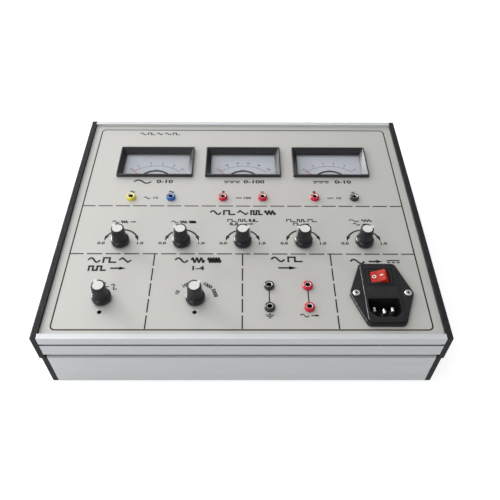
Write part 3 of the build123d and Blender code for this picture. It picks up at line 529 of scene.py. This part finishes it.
knobShape = {"flutes": 20, "stepsPerFlute": 8, "fluteDepth": 0.36, "plainHalf": 0.12, "skirtHeight": 2.8,
             "shoulder": 1.9, "footRadius": 6.0, "topRadius": 5.35, "topDrop": 0.15, "capRecess": 1.7,
             "recessRadius": 4.25, "edge": 0.3, "hollow": (5.6, 3.6), "notchHalf": 0.34,
             "notchDepth": 0.62, "notchStart": 4.0, "tipSpan": 1.6,
             "rim": ((0.1, 0.12, 0.5), (0.3, 0.0, 0.1))}  # inset, drop and share of the flutes' depth
# share of the way up the fluted part, share of the flutes' depth
fluteFade = ((0.04, 0.35), (0.1, 0.8), (0.2, 1.0), (0.5, 1.0), (0.8, 1.0), (0.95, 1.0))


def knobProfile(radius, height):
    # rows of radius, height and the share of the flutes' depth
    edge, foot, hollow = knobShape["edge"], knobShape["footRadius"], knobShape["hollow"]
    skirt, shoulder = knobShape["skirtHeight"], knobShape["shoulder"]
    rows = [(0, hollow[1], 0), (*hollow, 0), (hollow[0], 0.0, 0), (radius - edge, 0.0, 0),
            (radius, edge, 0), (radius, skirt, 0)]
    for across, up in quarterTurn(8):
        rows.append((foot + (radius - foot) * across, skirt + shoulder * up, 0))
    top = height - knobShape["topDrop"]
    topRadius = knobShape["topRadius"]
    for share, depth in fluteFade:
        rows.append((foot + (topRadius - foot) * share,
                     skirt + shoulder + (top - edge - skirt - shoulder) * share, depth))
    recess, floor = knobShape["recessRadius"], height - knobShape["capRecess"]
    rows += [(topRadius - inset, top - drop, depth) for inset, drop, depth in knobShape["rim"]]
    return rows + [(recess, top, 0), (recess, floor, 0), (0, floor, 0)]


def makeKnob(name):
    low, high = nodeBox(name + "_knob")
    middle = boxMiddle(name + "_shaft")
    rows = knobProfile((high.x - low.x) / 2, high.z - low.z)
    tip = pointerAngle(name)

    def ripple(level, angle):
        plain = knobShape["plainHalf"]
        fade = min(1.0, max(0.0, (abs(turnFrom(tip, angle)) - plain) / plain))
        wave = (1 - math.cos(knobShape["flutes"] * (angle - tip))) / 2
        return -knobShape["fluteDepth"] * rows[level][2] * fade * wave ** 1.5

    verts, faces = lathe([row[:2] for row in rows], knobShape["flutes"] * knobShape["stepsPerFlute"],
                         (middle.x, middle.y, low.z), ripple)
    notchFloor = high.z - knobShape["notchDepth"]
    verts = [(x, y, min(z, notchFloor)) if nearTip(x - middle.x, y - middle.y, tip) else (x, y, z)
             for x, y, z in verts]
    piece = makeObject(name + "Knob", verts, faces, name + "_control", "knob", sharp=40)
    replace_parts(piece, name + "_knob")


def turnFrom(start, angle):
    # the shorter way round, in radians
    return (angle - start + math.pi) % (2 * math.pi) - math.pi


def nearTip(x, y, tip):
    # over the white point that joins the cap and the fin, where the rim is open
    away = turnFrom(tip, math.atan2(y, x))
    return abs(away) < knobShape["notchHalf"] and math.hypot(x, y) > knobShape["notchStart"]


def pointerAngle(name):
    # direction of the cap's point, which is the middle of its farthest corners
    centre = boxMiddle(name + "_shaft").xy * mm
    verts = nodes[name + "_knob_cap"].data.vertices
    tip = max(verts, key=lambda vert: (vert.co.xy - centre).length_squared)
    near = [vert.co.xy for vert in verts if (vert.co - tip.co).xy.length < knobShape["tipSpan"] * mm]
    point = sum(near, Vector((0, 0))) / len(near) - centre
    return math.atan2(point.y, point.x)


for controlName in potNames + selectorNames:
    makeKnob(controlName)
print("knobs made")


# Sockets; a mouth or rim is a list of radius and drop below the top

collarShape = {"bore": 2.53, "sleeve": 3.4, "foot": 4.1, "reach": 4.15, "footRise": 0.1, "dome": 1.45,
               "mouth": ((2.62, 0.02), (2.55, 0.12), (2.53, 0.3))}
tubeShape = {"pin": 1.4, "pinChamfer": 0.2, "outside": 2.5, "flange": 3.2, "wall": 1.0, "inside": 2.0,
             "depth": 19.0, "drillPoint": 0.4,
             "rim": ((2.5, 0.1), (2.44, 0.02), (2.36, 0.0), (2.26, 0.04), (2.04, 0.4), (2.0, 0.5))}
collarNames = {"yellow_jack": "yellowCollar", "blue_jack": "blueCollar", "red_jacks": "redCollars",
               "black_jacks": "blackCollars"}


def collarProfile(low, high):
    # domed collar whose mouth stops at the rim of the metal tube
    sleeve, reach, dome = collarShape["sleeve"], collarShape["reach"], collarShape["dome"]
    rows = [(collarShape["bore"], low.z), (sleeve, low.z), (sleeve, panelTop),
            (collarShape["foot"], panelTop), (reach, panelTop + collarShape["footRise"]),
            (reach, high.z - dome)]
    rows += [(reach - dome + dome * across, high.z - dome + dome * up) for across, up in quarterTurn(8)]
    return rows + [(radius, high.z - drop) for radius, drop in collarShape["mouth"]]


def makeCollars(node, names):
    profile = collarProfile(*nodeBox(node))
    shapes = [lathe(profile, 56, (middle.x, middle.y, 0)) for middle in solidMiddles(node)]
    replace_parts(makeObject(names[node], *merged(shapes), "case", slotOfNode[node]), node)


def makeContacts():
    low, high = nodeBox("jack_contacts")
    floor = high.z - tubeShape["depth"]
    sleeve = nodeBox("yellow_jack")[0].z
    pin, chamfer, wall = tubeShape["pin"], tubeShape["pinChamfer"], tubeShape["wall"]
    outside, flange = tubeShape["outside"], tubeShape["flange"]
    profile = [(0, low.z), (pin - chamfer, low.z), (pin, low.z + chamfer), (pin, floor - wall),
               (outside, floor - wall), (outside, sleeve - wall), (flange, sleeve - wall),
               (flange, sleeve), (outside, sleeve)]
    profile += [(radius, high.z - drop) for radius, drop in tubeShape["rim"]]
    profile += [(tubeShape["inside"], floor), (0, floor - tubeShape["drillPoint"])]
    shapes = [lathe(profile, 48, (middle.x, middle.y, 0)) for middle in solidMiddles("jack_contacts")]
    tubes = makeObject("contactTubes", *merged(shapes), "case", "contact", finishes["socketTube"])
    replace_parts(tubes, "jack_contacts")


for jackNode in collarNames:
    makeCollars(jackNode, collarNames)
makeContacts()
print("sockets made")


# Panel meters

meterShape = {"rim": 0.7, "soft": 0.3, "window": (61.4, 30.7), "pane": (63.6, 32.9), "windowDrop": 1.8,
              "cornerRadius": 1.0, "innerRadius": 0.25, "neckRadius": 0.9, "neckMargin": 3.2,
              "footMargin": 0.5, "footRise": 0.4, "lipRise": 0.1, "pivotOffset": 32.8,
              "scaleRadius": 32.9, "sweep": 40.5}
# width taken off, corner radius and drop below the top, down the start of the sloping wall
wallStart = ((0, 0.5, 0), (0.4, 0.4, 0.08), (0.7, 0.35, 0.35))
coverShape = {"offset": 22.8, "radius": 16.4, "half": 78, "ringWidth": 1.5, "ringDrop": 0.5,
              "ringHeight": 0.56, "ringGrow": 0.04, "pinGrow": 0.1, "pinTurn": 3.6,
              "pin": ((0, -0.3), (0.7, -0.3), (0.7, 0.12), (0.55, 0.22), (0, 0.24))}
dialShape = {"thickness": 0.03, "line": 0.25, "divisions": 50,
             "ticks": ((10, 2.4, 0.4), (5, 1.5, 0.16), (1, 0.9, 0.16)),  # every, length, line
             "numberReach": 4.6, "numberSize": 3.0, "numberBold": 0.06, "unitDrop": 5.2,
             "wave": (3.4, 1.2, 0.3), "steadyHalf": 1.6, "steadyRise": 0.4,
             "dashHalf": 0.4, "dashPitch": 1.2, "dashDrop": 0.3}
upToTen = (0, 2, 4, 6, 8, 10)
dialNumbers = {"left": upToTen, "centre": (0, 20, 40, 60, 80, 100), "right": upToTen}
# places of the left meter's numbers along its scale
acShares = (0.0, 0.142, 0.377, 0.60, 0.82, 1.0)


def scaleAngle(name, share):
    # the numbers of an alternating current scale lie closer together near zero
    if name == "left":
        fifth = min(4, int(share * 5))
        share = acShares[fifth] + (acShares[fifth + 1] - acShares[fifth]) * (share * 5 - fifth)
    return meterShape["sweep"] * (2 * share - 1)


def makeBezel(name):
    low, high = nodeBox(name + "_meter_bezel")
    width, height = high.x - low.x, high.y - low.y
    soft, corner, inner = meterShape["soft"], meterShape["cornerRadius"], meterShape["innerRadius"]
    window, pane = meterShape["window"], meterShape["pane"]
    windowZ = panelTop - meterShape["windowDrop"]
    neck = (*[size + meterShape["neckMargin"] for size in pane], meterShape["neckRadius"])
    sizes = [(width, height, corner, panelTop), (width, height, corner, high.z - soft)]
    for across, up in quarterTurn(3):
        inset = 2 * soft * (1 - across)
        sizes.append((width - inset, height - inset, corner, high.z - soft * (1 - up)))
    rim = 2 * (soft + meterShape["rim"])
    for less, radius, drop in wallStart:
        sizes.append((width - rim - less, height - rim - less, radius, high.z - drop))
    foot = [size + meterShape["footMargin"] for size in window]
    sizes += [(*foot, inner, windowZ + meterShape["footRise"]),
              (*window, inner, windowZ + meterShape["lipRise"]),
              (*window, inner, windowZ), (*pane, inner, windowZ), (*pane, inner, low.z),
              (*neck, low.z), (*neck, panelTop)]
    rings = [(roundedOutline(*size), z) for *size, z in sizes]
    piece = makeObject(name + "Bezel", *ringStack(rings, (low + high) / 2), "case", "bezel", sharp=28)
    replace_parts(piece, name + "_meter_bezel")


def makeDialPrint(name):
    centre = boxMiddle(name + "_meter_bezel")
    pivot = (centre.x, centre.y - meterShape["pivotOffset"])
    radius, sweep, line = meterShape["scaleRadius"], meterShape["sweep"], dialShape["line"]
    ink = InkSheet(nodeBox("meter_dials")[1].z, dialShape["thickness"])
    ink.stroke(arcPoints(radius, -sweep, sweep, 48, pivot), line)
    divisions = dialShape["divisions"]
    for tick in range(divisions + 1):
        angle = scaleAngle(name, tick / divisions)
        length, width = next(sizes for every, *sizes in dialShape["ticks"] if tick % every == 0)
        ink.stroke([onArc(radius, angle, pivot), onArc(radius + length, angle, pivot)], width)
    numbers = dialNumbers[name]
    for place, number in enumerate(numbers):
        angle = scaleAngle(name, place / (len(numbers) - 1))
        spot = onArc(radius + dialShape["numberReach"], angle, pivot)
        ink.number(str(number), spot, dialShape["numberSize"], angle, bold=dialShape["numberBold"])
    x, y = centre.x, pivot[1] + radius - dialShape["unitDrop"]
    if name == "left":
        ink.sine((x, y), *dialShape["wave"])
    else:
        ink.bar(x, y + dialShape["steadyRise"], dialShape["steadyHalf"], 0, line)
        dashY = y - dialShape["dashDrop"]
        for dash in (-1, 0, 1):
            ink.bar(x + dash * dialShape["dashPitch"], dashY, dialShape["dashHalf"], 0, line)
    ink.done(name + "DialPrint", "case", finishes["dialInk"])


def makeCoverRing(name):
    centre = boxMiddle(name + "_meter_bezel")
    middle = (centre.x, centre.y - coverShape["offset"])
    top = nodeBox("meter_movements")[1].z
    ink = InkSheet(top - coverShape["ringDrop"], coverShape["ringHeight"])
    width, half = coverShape["ringWidth"], coverShape["half"]
    radius = coverShape["radius"] - width / 2 + coverShape["ringGrow"]
    ink.stroke(arcPoints(radius, -half, half, 60, middle), width)
    pin = [(reach, top + rise) for reach, rise in coverShape["pin"]]
    for side in (-1, 1):
        spot = onArc(radius + coverShape["pinGrow"], side * coverShape["pinTurn"], middle)
        ink.shapes.append(lathe(pin, 16, (*spot, 0)))
    ink.done(name + "CoverRing", "case", finishes["blackRingAndShade"])


for meterName in meterNames:
    makeBezel(meterName)
    makeDialPrint(meterName)
    makeCoverRing(meterName)
print("meters made")


# Rocker switch with its marks

rockerShape = {"pivotZ": 67.3, "topReach": 6.0, "footReach": 7.55, "footDrop": 1.8, "sweepRadius": 7.7,
               "width": 11.0, "endRise": 4.15, "middleRise": 3.4, "faceCurve": 1.2, "belly": 3.2,
               "tilt": 21.0, "soft": 0.4, "ringRadius": 1.3, "ringLine": 0.72, "barHalf": 1.4,
               "barLine": 0.8, "markDrop": 0.06, "markHeight": 0.16}


def rockerFace(share):
    # height of the pressed face above the pivot, from the middle (0) to the ends (1)
    rise, dip = rockerShape["endRise"], rockerShape["middleRise"]
    return dip + (rise - dip) * share ** rockerShape["faceCurve"]


def makeRocker():
    rocker = nodeBox("power_rocker")
    pivot = Vector((boxMiddle("inlet_body").x, (rocker[0].y + rocker[1].y) / 2, rockerShape["pivotZ"]))
    place = Matrix.Translation(pivot * mm) @ Matrix.Rotation(math.radians(-rockerShape["tilt"]), 4, "Y")
    reach, belly = rockerShape["topReach"], rockerShape["belly"]
    profile = [(reach * (step / 6 - 1), rockerFace(abs(step / 6 - 1))) for step in range(13)]
    corner = math.sqrt(rockerShape["sweepRadius"] ** 2 - belly ** 2)
    side = [(rockerShape["footReach"], -rockerShape["footDrop"]), (corner, -belly)]
    profile += side + [(-x, z) for x, z in reversed(side)]
    half = rockerShape["width"] / 2
    count = len(profile)
    verts = [(x, edge * half, z) for edge in (-1, 1) for x, z in profile]
    faces = [tuple(range(count)), tuple(range(2 * count - 1, count - 1, -1))]
    faces += [(step, count + step, count + (step + 1) % count, (step + 1) % count) for step in range(count)]
    piece = makeObject("rockerPaddle", verts, faces, "rocker", "rocker", sharp=50)
    piece.data.transform(place)
    addBevel(piece, rockerShape["soft"], 3)
    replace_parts(piece, "power_rocker")
    makeRockerMarks(place)


def makeRockerMarks(place):
    reach = rockerShape["topReach"]
    slope = math.degrees(math.atan2(rockerShape["endRise"] - rockerShape["middleRise"], reach))
    ring = arcPoints(rockerShape["ringRadius"], 0, 345, 24)
    for side, name in ((-1, "offMark"), (1, "onMark")):
        ink = InkSheet(-rockerShape["markDrop"], rockerShape["markHeight"])
        if side < 0:
            ink.stroke(ring, rockerShape["ringLine"], closed=True)
        else:
            ink.bar(0, 0, rockerShape["barHalf"], 0, rockerShape["barLine"])
        mark = ink.done(name, "rocker", finishes["whiteInk"])
        spot = Vector((side * reach / 2, 0, rockerFace(0.5))) * mm
        lean = Matrix.Rotation(math.radians(-side * slope), 4, "Y")
        mark.data.transform(place @ Matrix.Translation(spot) @ lean)


def addBevel(piece, width, segments):
    bevel = piece.modifiers.new("softEdge", "BEVEL")
    bevel.width = width * mm
    bevel.segments = segments
    bevel.limit_method = "ANGLE"
    bevel.angle_limit = math.radians(30)
    bevel.harden_normals = True


makeRocker()
print("rocker made")


# Painted shade: dark sheets in the gaps, holes and recesses that lie in shadow

shadeSheetShape = {"hole": 1.68, "holeDistance": 12.6, "holeDepth": 1.5, "wall": 0.12, "floor": 0.1,
               "rimDrop": 0.05, "cross": 0.72, "arm": 3.1, "crossDrop": 0.6, "crossDepth": 0.35,
               "headDrop": 6, "endGap": 0.1, "faceGap": 0.05, "thickness": 0.04}
# rail, drop of the painted shade sheet below the lip, its width and its finish
gaps = {"seam": ("_lower_rail", 26.0, 2.3, "ledgeShade"), "channel": ("_upper_rail", 10.0, 1.1, "shade")}


def makeHoleLinings():
    # painted shade: a black cup in each locating hole beside the selectors, where the hole lies in shadow
    floor, rim = panelTop - shadeSheetShape["holeDepth"], panelTop - shadeSheetShape["rimDrop"]
    bottom = floor - shadeSheetShape["floor"]
    radius, inside = shadeSheetShape["hole"], shadeSheetShape["hole"] - shadeSheetShape["wall"]
    cup = [(0, bottom), (radius, bottom), (radius, rim), (inside, rim), (inside, floor), (0, floor)]
    selectors = [boxMiddle(name + "_shaft") for name in selectorNames]
    cups = [lathe(cup, 32, (middle.x, middle.y - shadeSheetShape["holeDistance"], 0)) for middle in selectors]
    makeObject("holePaintedShade", *merged(cups), "case", material=finishes["blackRingAndShade"])


def makeScrewCrosses():
    # painted shade: a dark sheet in the cross recess of each inlet screw head
    head = nodeBox("inlet_screws")[1].z
    crosses = InkSheet(head - shadeSheetShape["crossDrop"], shadeSheetShape["crossDepth"])
    arm = shadeSheetShape["arm"] / 2
    for middle in solidMiddles("inlet_screws"):
        # the heads, without the nuts below the panel
        if middle.z > panelTop - shadeSheetShape["headDrop"]:
            crosses.bar(middle.x, middle.y, arm, 0, shadeSheetShape["cross"])
            crosses.bar(middle.x, middle.y, 0, arm, shadeSheetShape["cross"])
    crosses.done("screwCrossShade", "case", finishes["blackRingAndShade"])


def makeRailLinings():
    # painted shade: dark sheets on the top edge of the lower rails and the floor of the upper rails'
    # channel
    for end, side in (("front", -1), ("rear", 1)):
        lipTop = nodeBox(end + "_upper_rail")[1].z
        for gap, (rail, drop, width, finish) in gaps.items():
            low, high = nodeBox(end + rail)
            left, right = low.x + shadeSheetShape["endGap"], high.x - shadeSheetShape["endGap"]
            face = (high if side > 0 else low).y - side * shadeSheetShape["faceGap"]
            back = face - side * width
            ink = InkSheet(lipTop - drop, shadeSheetShape["thickness"])
            ink.fill([(left, face), (right, face), (right, back), (left, back)][::-side])
            ink.done(end + gap.capitalize() + "PaintedShade", "case", finishes[finish])


makeHoleLinings()
makeScrewCrosses()
makeRailLinings()
print("painted shade made")


# Printed legend on the panel

legendShape = {"frame": (285.2, 239.8), "frameY": -0.8, "frameRadius": 3.8, "frameLine": 1.15, "line": 1.1,
               "dash": 12.7, "pitch": 15.3, "shortest": 0.5, "rowStart": -143.9, "rowBreaks": (9.6, -46.6),
               "columnBreaks": (-72.5, 0.0, 72.5), "columnStart": 46.6, "wide": 1.4}
arcShape = {"radius": 14.2, "width": 1.5, "arrowStart": 61.0, "arrowEnd": 85.0, "arrowWidth": 3.3,
            "numbers": (("0.0", -16.3), ("1.0", 16.1)), "numberDrop": 1.2, "numberSize": 3.7,
            "numberBold": 0.16}


def dashes(start, end, first):
    # the clipped dashes of one dividing line
    pieces = []
    while first < end:
        low, high = max(first, start), min(first + legendShape["dash"], end)
        if high - low > legendShape["shortest"]:
            pieces.append((low, high))
        first += legendShape["pitch"]
    return pieces


def dividers(ink):
    shape = legendShape
    halfWidth, halfDepth = [size / 2 for size in shape["frame"]]
    outline = roundedOutline(*shape["frame"], shape["frameRadius"], 8)
    ink.stroke([(x, y + shape["frameY"]) for x, y in outline], shape["frameLine"], closed=True)
    for y in shape["rowBreaks"]:
        for low, high in dashes(-halfWidth, halfWidth, shape["rowStart"]):
            ink.stroke([(low, y), (high, y)], shape["line"])
    for x in shape["columnBreaks"]:
        for low, high in dashes(shape["columnStart"], halfDepth, shape["columnStart"]):
            ink.stroke([(x, -low), (x, -high)], shape["line"])


def turningArc(ink, centre):
    radius, start, end = arcShape["radius"], arcShape["arrowStart"], arcShape["arrowEnd"]
    ink.stroke(arcPoints(radius, -start, start, 40, centre), arcShape["width"])
    half, middle = arcShape["arrowWidth"] / 2, (start + end) / 2
    arrow = ((half, start), (half / 2, middle), (0, end), (-half / 2, middle), (-half, start))
    for side in (-1, 1):
        corners = [onArc(radius + reach, side * angle, centre) for reach, angle in arrow]
        ink.fill(corners[::-side])
    for number, x in arcShape["numbers"]:
        ink.number(number, (centre[0] + x, centre[1] - arcShape["numberDrop"]), arcShape["numberSize"],
                   bold=arcShape["numberBold"], wide=legendShape["wide"])


# each is a share of the sign's width, its height or its line
signShape = {"wave": 0.78, "shaftBack": 0.09, "shaftHalf": 0.29, "headStart": 0.05, "headTip": 0.38,
             "headWidth": 0.8, "barHalf": 0.36, "barRise": 0.22, "dashDrop": 0.24, "dashPitch": 0.26,
             "dashHalf": 0.08, "thinLine": 0.7, "number": 1.35, "bold": 0.14}


def signRow(ink, signs, left, right, y, height, width):
    # signs spread evenly from left to right; a sign is the name of a waveform, an arrow or a number
    share = (right - left) / len(signs)
    for place, sign in enumerate(signs):
        x = left + share * (place + 0.5)
        if sign == "arrow":
            ink.bar(x - share * signShape["shaftBack"], y, share * signShape["shaftHalf"], 0, width)
            base, tip = [(x + share * signShape[end], y) for end in ("headStart", "headTip")]
            ink.arrowHead(base, tip, height * signShape["headWidth"])
        elif sign == "steady":
            line, pitch, half = width * signShape["thinLine"], signShape["dashPitch"], signShape["dashHalf"]
            ink.bar(x, y + height * signShape["barRise"], share * signShape["barHalf"], 0, line)
            for dash in (-pitch, 0, pitch):
                ink.bar(x + dash * share, y - height * signShape["dashDrop"], share * half, 0, line)
        elif sign in waveSigns:
            wave, values = waveSigns[sign]
            wave(ink, (x, y), share * signShape["wave"], height, width, **values)
        else:
            ink.number(sign, (x, y), height * signShape["number"], bold=width * signShape["bold"],
                       wide=legendShape["wide"])


waveSigns = {"sine": (InkSheet.sine, {}), "sines": (InkSheet.sine, {"cycles": 3}),
             "fast": (InkSheet.sine, {"cycles": 5}), "triangle": (InkSheet.triangle, {}),
             "square": (InkSheet.square, {}), "squares": (InkSheet.square, {"cycles": 2}),
             "pulses": (InkSheet.square, {"cycles": 2, "share": 0.28})}
meterSigns = {"left": (("sine", "0-10"), ("sine", "10")), "right": (("steady", "0-10"), ("steady", "10")),
              "centre": (("steady", "0-100"), ("steady", "100"))}
topRow, lowRow, plainRow = -8.1, -12.4, -10.2
controlSigns = {"amplitude": [(("sine", "sines", "arrow"), 23.0, plainRow)],
                "frequency": [(("sine", "sines", "fast"), 23.0, plainRow)],
                "duty_ratio": [(("square", "squares", "pulses"), 28.0, topRow),
                               (("pulses", "arrow"), 24.0, lowRow)],
                "square_linear": [(("square", "squares", "square"), 28.0, topRow),
                                  (("square", "arrow"), 16.0, lowRow)],
                "sine_linear": [(("sine", "sines"), 22.0, topRow), (("sine", "arrow"), 15.0, lowRow)]}
# signs, left, right, height on the panel, height of the signs, line
headingSigns = [(("sine", "square", "triangle", "sine", "square"), -105.0, -63.5, 113.0, 3.0, 1.05),
                (("sine", "square", "triangle", "squares", "sines"), -30.0, 30.0, 1.4, 4.6, 1.6),
                (("sine", "square", "triangle"), -127.7, -89.7, -53.4, 4.6, 1.6),
                (("squares", "arrow"), -126.0, -92.0, -62.0, 4.2, 1.6),
                (("sine", "sines", "fast"), -56.7, -16.4, -53.4, 4.6, 1.6),
                (("1-4",), -46.0, -27.0, -62.0, 4.4, 1.8),
                (("sine", "square"), 22.0, 50.0, -52.4, 4.6, 1.6),
                (("arrow",), 26.5, 47.0, -61.4, 4.6, 1.6),
                (("sine", "arrow", "steady"), 86.8, 131.0, -54.5, 4.4, 1.6)]
# the sizes are a height and a line, or the length, height and line of a wave
markShape = {"labelHalf": 20.5, "labelY": 41.5, "labelSize": (4.4, 1.6), "limitHalf": 7.4,
             "limitSize": (2.6, 0.9), "jackX": 17.75, "jackRise": 8.0, "jackWave": (4.4, 1.5, 1.2),
             "minusHalf": 1.5, "plusHalf": 1.7, "plusLine": 1.1, "controlSize": (2.5, 0.95),
             "waveReach": 13.6, "waveSize": (6.2, 3.8, 0.95), "waves": ((0, "square"), (33, "sine")),
             "rangeReach": 15.6, "rangeSize": 4.2, "rangeBold": 0.2,
             "ranges": ((10, -68), (100, -33), (1000, 34), (5000, 69)), "pairGap": 3.9, "pairLine": 0.95,
             "outputHalf": 8.3, "outputDrop": 7.0, "outputSize": (2.7, 0.9), "earthDrop": 6.6,
             "earthPitch": 1.35, "earthHalves": (3.4, 2.2, 1.0), "stemHalf": 0.9, "earthLine": 0.8,
             "outputRow": -60}


def makeMeterSigns(ink, name):
    x, jackY = boxMiddle(name + "_meter_bezel").x, boxMiddle("yellow_jack").y
    label, limit = meterSigns[name]
    half, line = markShape["labelHalf"], markShape["plusLine"]
    signRow(ink, label, x - half, x + half, markShape["labelY"], *markShape["labelSize"])
    half = markShape["limitHalf"]
    signRow(ink, limit, x - half, x + half, jackY, *markShape["limitSize"])
    for side in (-1, 1):
        signX, signY = x + side * markShape["jackX"], jackY + markShape["jackRise"]
        if name == "left":
            ink.sine((signX, signY), *markShape["jackWave"])
        else:
            ink.bar(signX, signY, markShape["minusHalf"], 0, line)
            if side < 0:
                ink.bar(signX, signY, 0, markShape["plusHalf"], line)


def makeSelectorSigns(ink):
    for turn, sign in markShape["waves"]:
        spot = onArc(markShape["waveReach"], turn, boxMiddle("waveform_shaft"))
        waveSigns[sign][0](ink, spot, *markShape["waveSize"], turn=turn)
    for number, turn in markShape["ranges"]:
        spot = onArc(markShape["rangeReach"], turn, boxMiddle("range_shaft"))
        ink.number(str(number), spot, markShape["rangeSize"], turn, bold=markShape["rangeBold"])


def makeOutputSigns(ink):
    # the pairs of sockets in the front row
    for node in ("black_jacks", "red_jacks"):
        low, high = [middle for middle in solidMiddles(node) if middle.y < markShape["outputRow"]]
        x = low.x
        ink.bar(x, (low.y + high.y) / 2, 0, (high.y - low.y) / 2 - markShape["pairGap"],
                markShape["pairLine"])
        if node == "red_jacks":
            half = markShape["outputHalf"]
            signRow(ink, ("sine", "arrow"), x - half, x + half, low.y - markShape["outputDrop"],
                    *markShape["outputSize"])
            continue
        top, stem, line = low.y - markShape["earthDrop"], markShape["stemHalf"], markShape["earthLine"]
        for step, half in enumerate(markShape["earthHalves"]):
            ink.bar(x, top - markShape["earthPitch"] * step, half, 0, line)
        ink.bar(x, top + stem, 0, stem, line)


def makeLegend():
    ink = InkSheet(panelTop)
    dividers(ink)
    for name in meterNames:
        makeMeterSigns(ink, name)
    for name in potNames:
        middle = boxMiddle(name + "_shaft")
        turningArc(ink, middle.xy)
        for signs, span, y in controlSigns[name]:
            signRow(ink, signs, middle.x - span / 2, middle.x + span / 2, y, *markShape["controlSize"])
    for heading in headingSigns:
        signRow(ink, *heading)
    makeSelectorSigns(ink)
    makeOutputSigns(ink)
    ink.done("panelLegend", "case", finishes["ink"])


makeLegend()
print("legend made")


# Floor, lights and camera

stageValues = {"floorHalf": 4.0, "floorColour": (0.55, 0.55, 0.55), "lift": 0.74, "worldDark": 0.33,
               "worldBright": 0.66, "brightSide": (-0.8, 0.6, 0.0), "windowSide": (-0.82, 0.50, 0.14),
               "windowEdge": (0.92, 0.96), "windowGlow": 26.0}
lampTarget = Vector((0, 0, 0.03))
lampValues = {"keyLamp": {"place": (-0.50, 0.20, 0.85), "size": 1.1, "power": 4.4},
              "sideLamp": {"place": (-1.05, 0.82, 0.52), "size": 0.3, "power": 4.5},
              "rearLamp": {"place": (-0.3, 1.3, 0.5), "size": 0.9, "power": 3.0},
              "fillLamp": {"place": (-0.75, -0.95, 0.5), "size": 0.6, "power": 3.4}}
cameraValues = {"lens": 40.48, "sensor": 36.0, "place": (0.001774, -0.348784, 0.419058),
                "turn": (0.713573, -0.008298, -0.004724)}


def makeFloor():
    half = stageValues["floorHalf"]
    mesh = bpy.data.meshes.new("floor")
    mesh.from_pydata([(-half, -half, 0), (half, -half, 0), (half, half, 0), (-half, half, 0)], [],
                     [(0, 1, 2, 3)])
    material, tree, shader = newMaterial("floorPaper", {
        "Base Color": (*stageValues["floorColour"], 1), "Roughness": 0.9, "Emission Color": (1, 1, 1, 1)})
    tree.links.new(seenDirectly(tree, stageValues["lift"]), shader.inputs["Emission Strength"])
    mesh.materials.append(material)
    floor = linked("floor", mesh)


def seenDirectly(tree, strength):
    light = newNode(tree, "ShaderNodeLightPath")
    total = light.outputs["Is Camera Ray"]
    for ray in ("Is Glossy Ray", "Is Transmission Ray"):
        either = newNode(tree, "ShaderNodeMath", "MAXIMUM")
        tree.links.new(total, either.inputs[0])
        tree.links.new(light.outputs[ray], either.inputs[1])
        total = either.outputs[0]
    scaled = newNode(tree, "ShaderNodeMath", "MULTIPLY", {1: strength})
    tree.links.new(total, scaled.inputs[0])
    return scaled.outputs[0]


def makeWorld():
    # brighter towards one side, with a window there that only shows in glossy faces
    world = bpy.data.worlds.new("studio")
    world.use_nodes = True
    bpy.context.scene.world = world
    tree = world.node_tree
    dark, bright = stageValues["worldDark"], stageValues["worldBright"]
    edge, glow = stageValues["windowEdge"], stageValues["windowGlow"]
    windowSide = Vector(stageValues["windowSide"]).normalized()
    direction = newNode(tree, "ShaderNodeTexCoord")
    towards = newNode(tree, "ShaderNodeVectorMath", "DOT_PRODUCT", {1: stageValues["brightSide"]})
    strength = newNode(tree, "ShaderNodeMapRange",
                       values={"From Min": -1.0, "To Min": dark, "To Max": bright})
    atWindow = newNode(tree, "ShaderNodeVectorMath", "DOT_PRODUCT", {1: windowSide})
    window = newNode(tree, "ShaderNodeMapRange",
                     values={"From Min": edge[0], "From Max": edge[1], "To Max": glow})
    light = newNode(tree, "ShaderNodeLightPath")
    total = newNode(tree, "ShaderNodeMath", "MULTIPLY_ADD")
    background = tree.nodes["Background"]
    setInputs(background, {"Color": (0.97, 0.985, 1.0, 1)})
    wire(tree, (direction, "Generated", towards, 0), (direction, "Generated", atWindow, 0),
         (towards, "Value", strength, "Value"), (atWindow, "Value", window, "Value"),
         (window, "Result", total, 0), (light, "Is Glossy Ray", total, 1), (strength, "Result", total, 2),
         (total, 0, background, "Strength"))


def makeLamp(name, place, size, power):
    lamp = bpy.data.lights.new(name, "AREA")
    lamp.size = size
    lamp.energy = power
    holder = linked(name, lamp)
    holder.location = place
    holder.rotation_euler = (lampTarget - Vector(place)).to_track_quat("-Z", "Y").to_euler()


def makeCamera():
    lens = bpy.data.cameras.new("camera")
    lens.lens = cameraValues["lens"]
    lens.sensor_width = cameraValues["sensor"]
    lens.clip_start = 0.01
    camera = linked("camera", lens)
    camera.location = cameraValues["place"]
    camera.rotation_euler = cameraValues["turn"]
    bpy.context.scene.camera = camera


makeFloor()
makeWorld()
for lampName, values in lampValues.items():
    makeLamp(lampName, **values)
makeCamera()
bpy.context.scene.view_settings.view_transform = "Standard"
print("stage made")
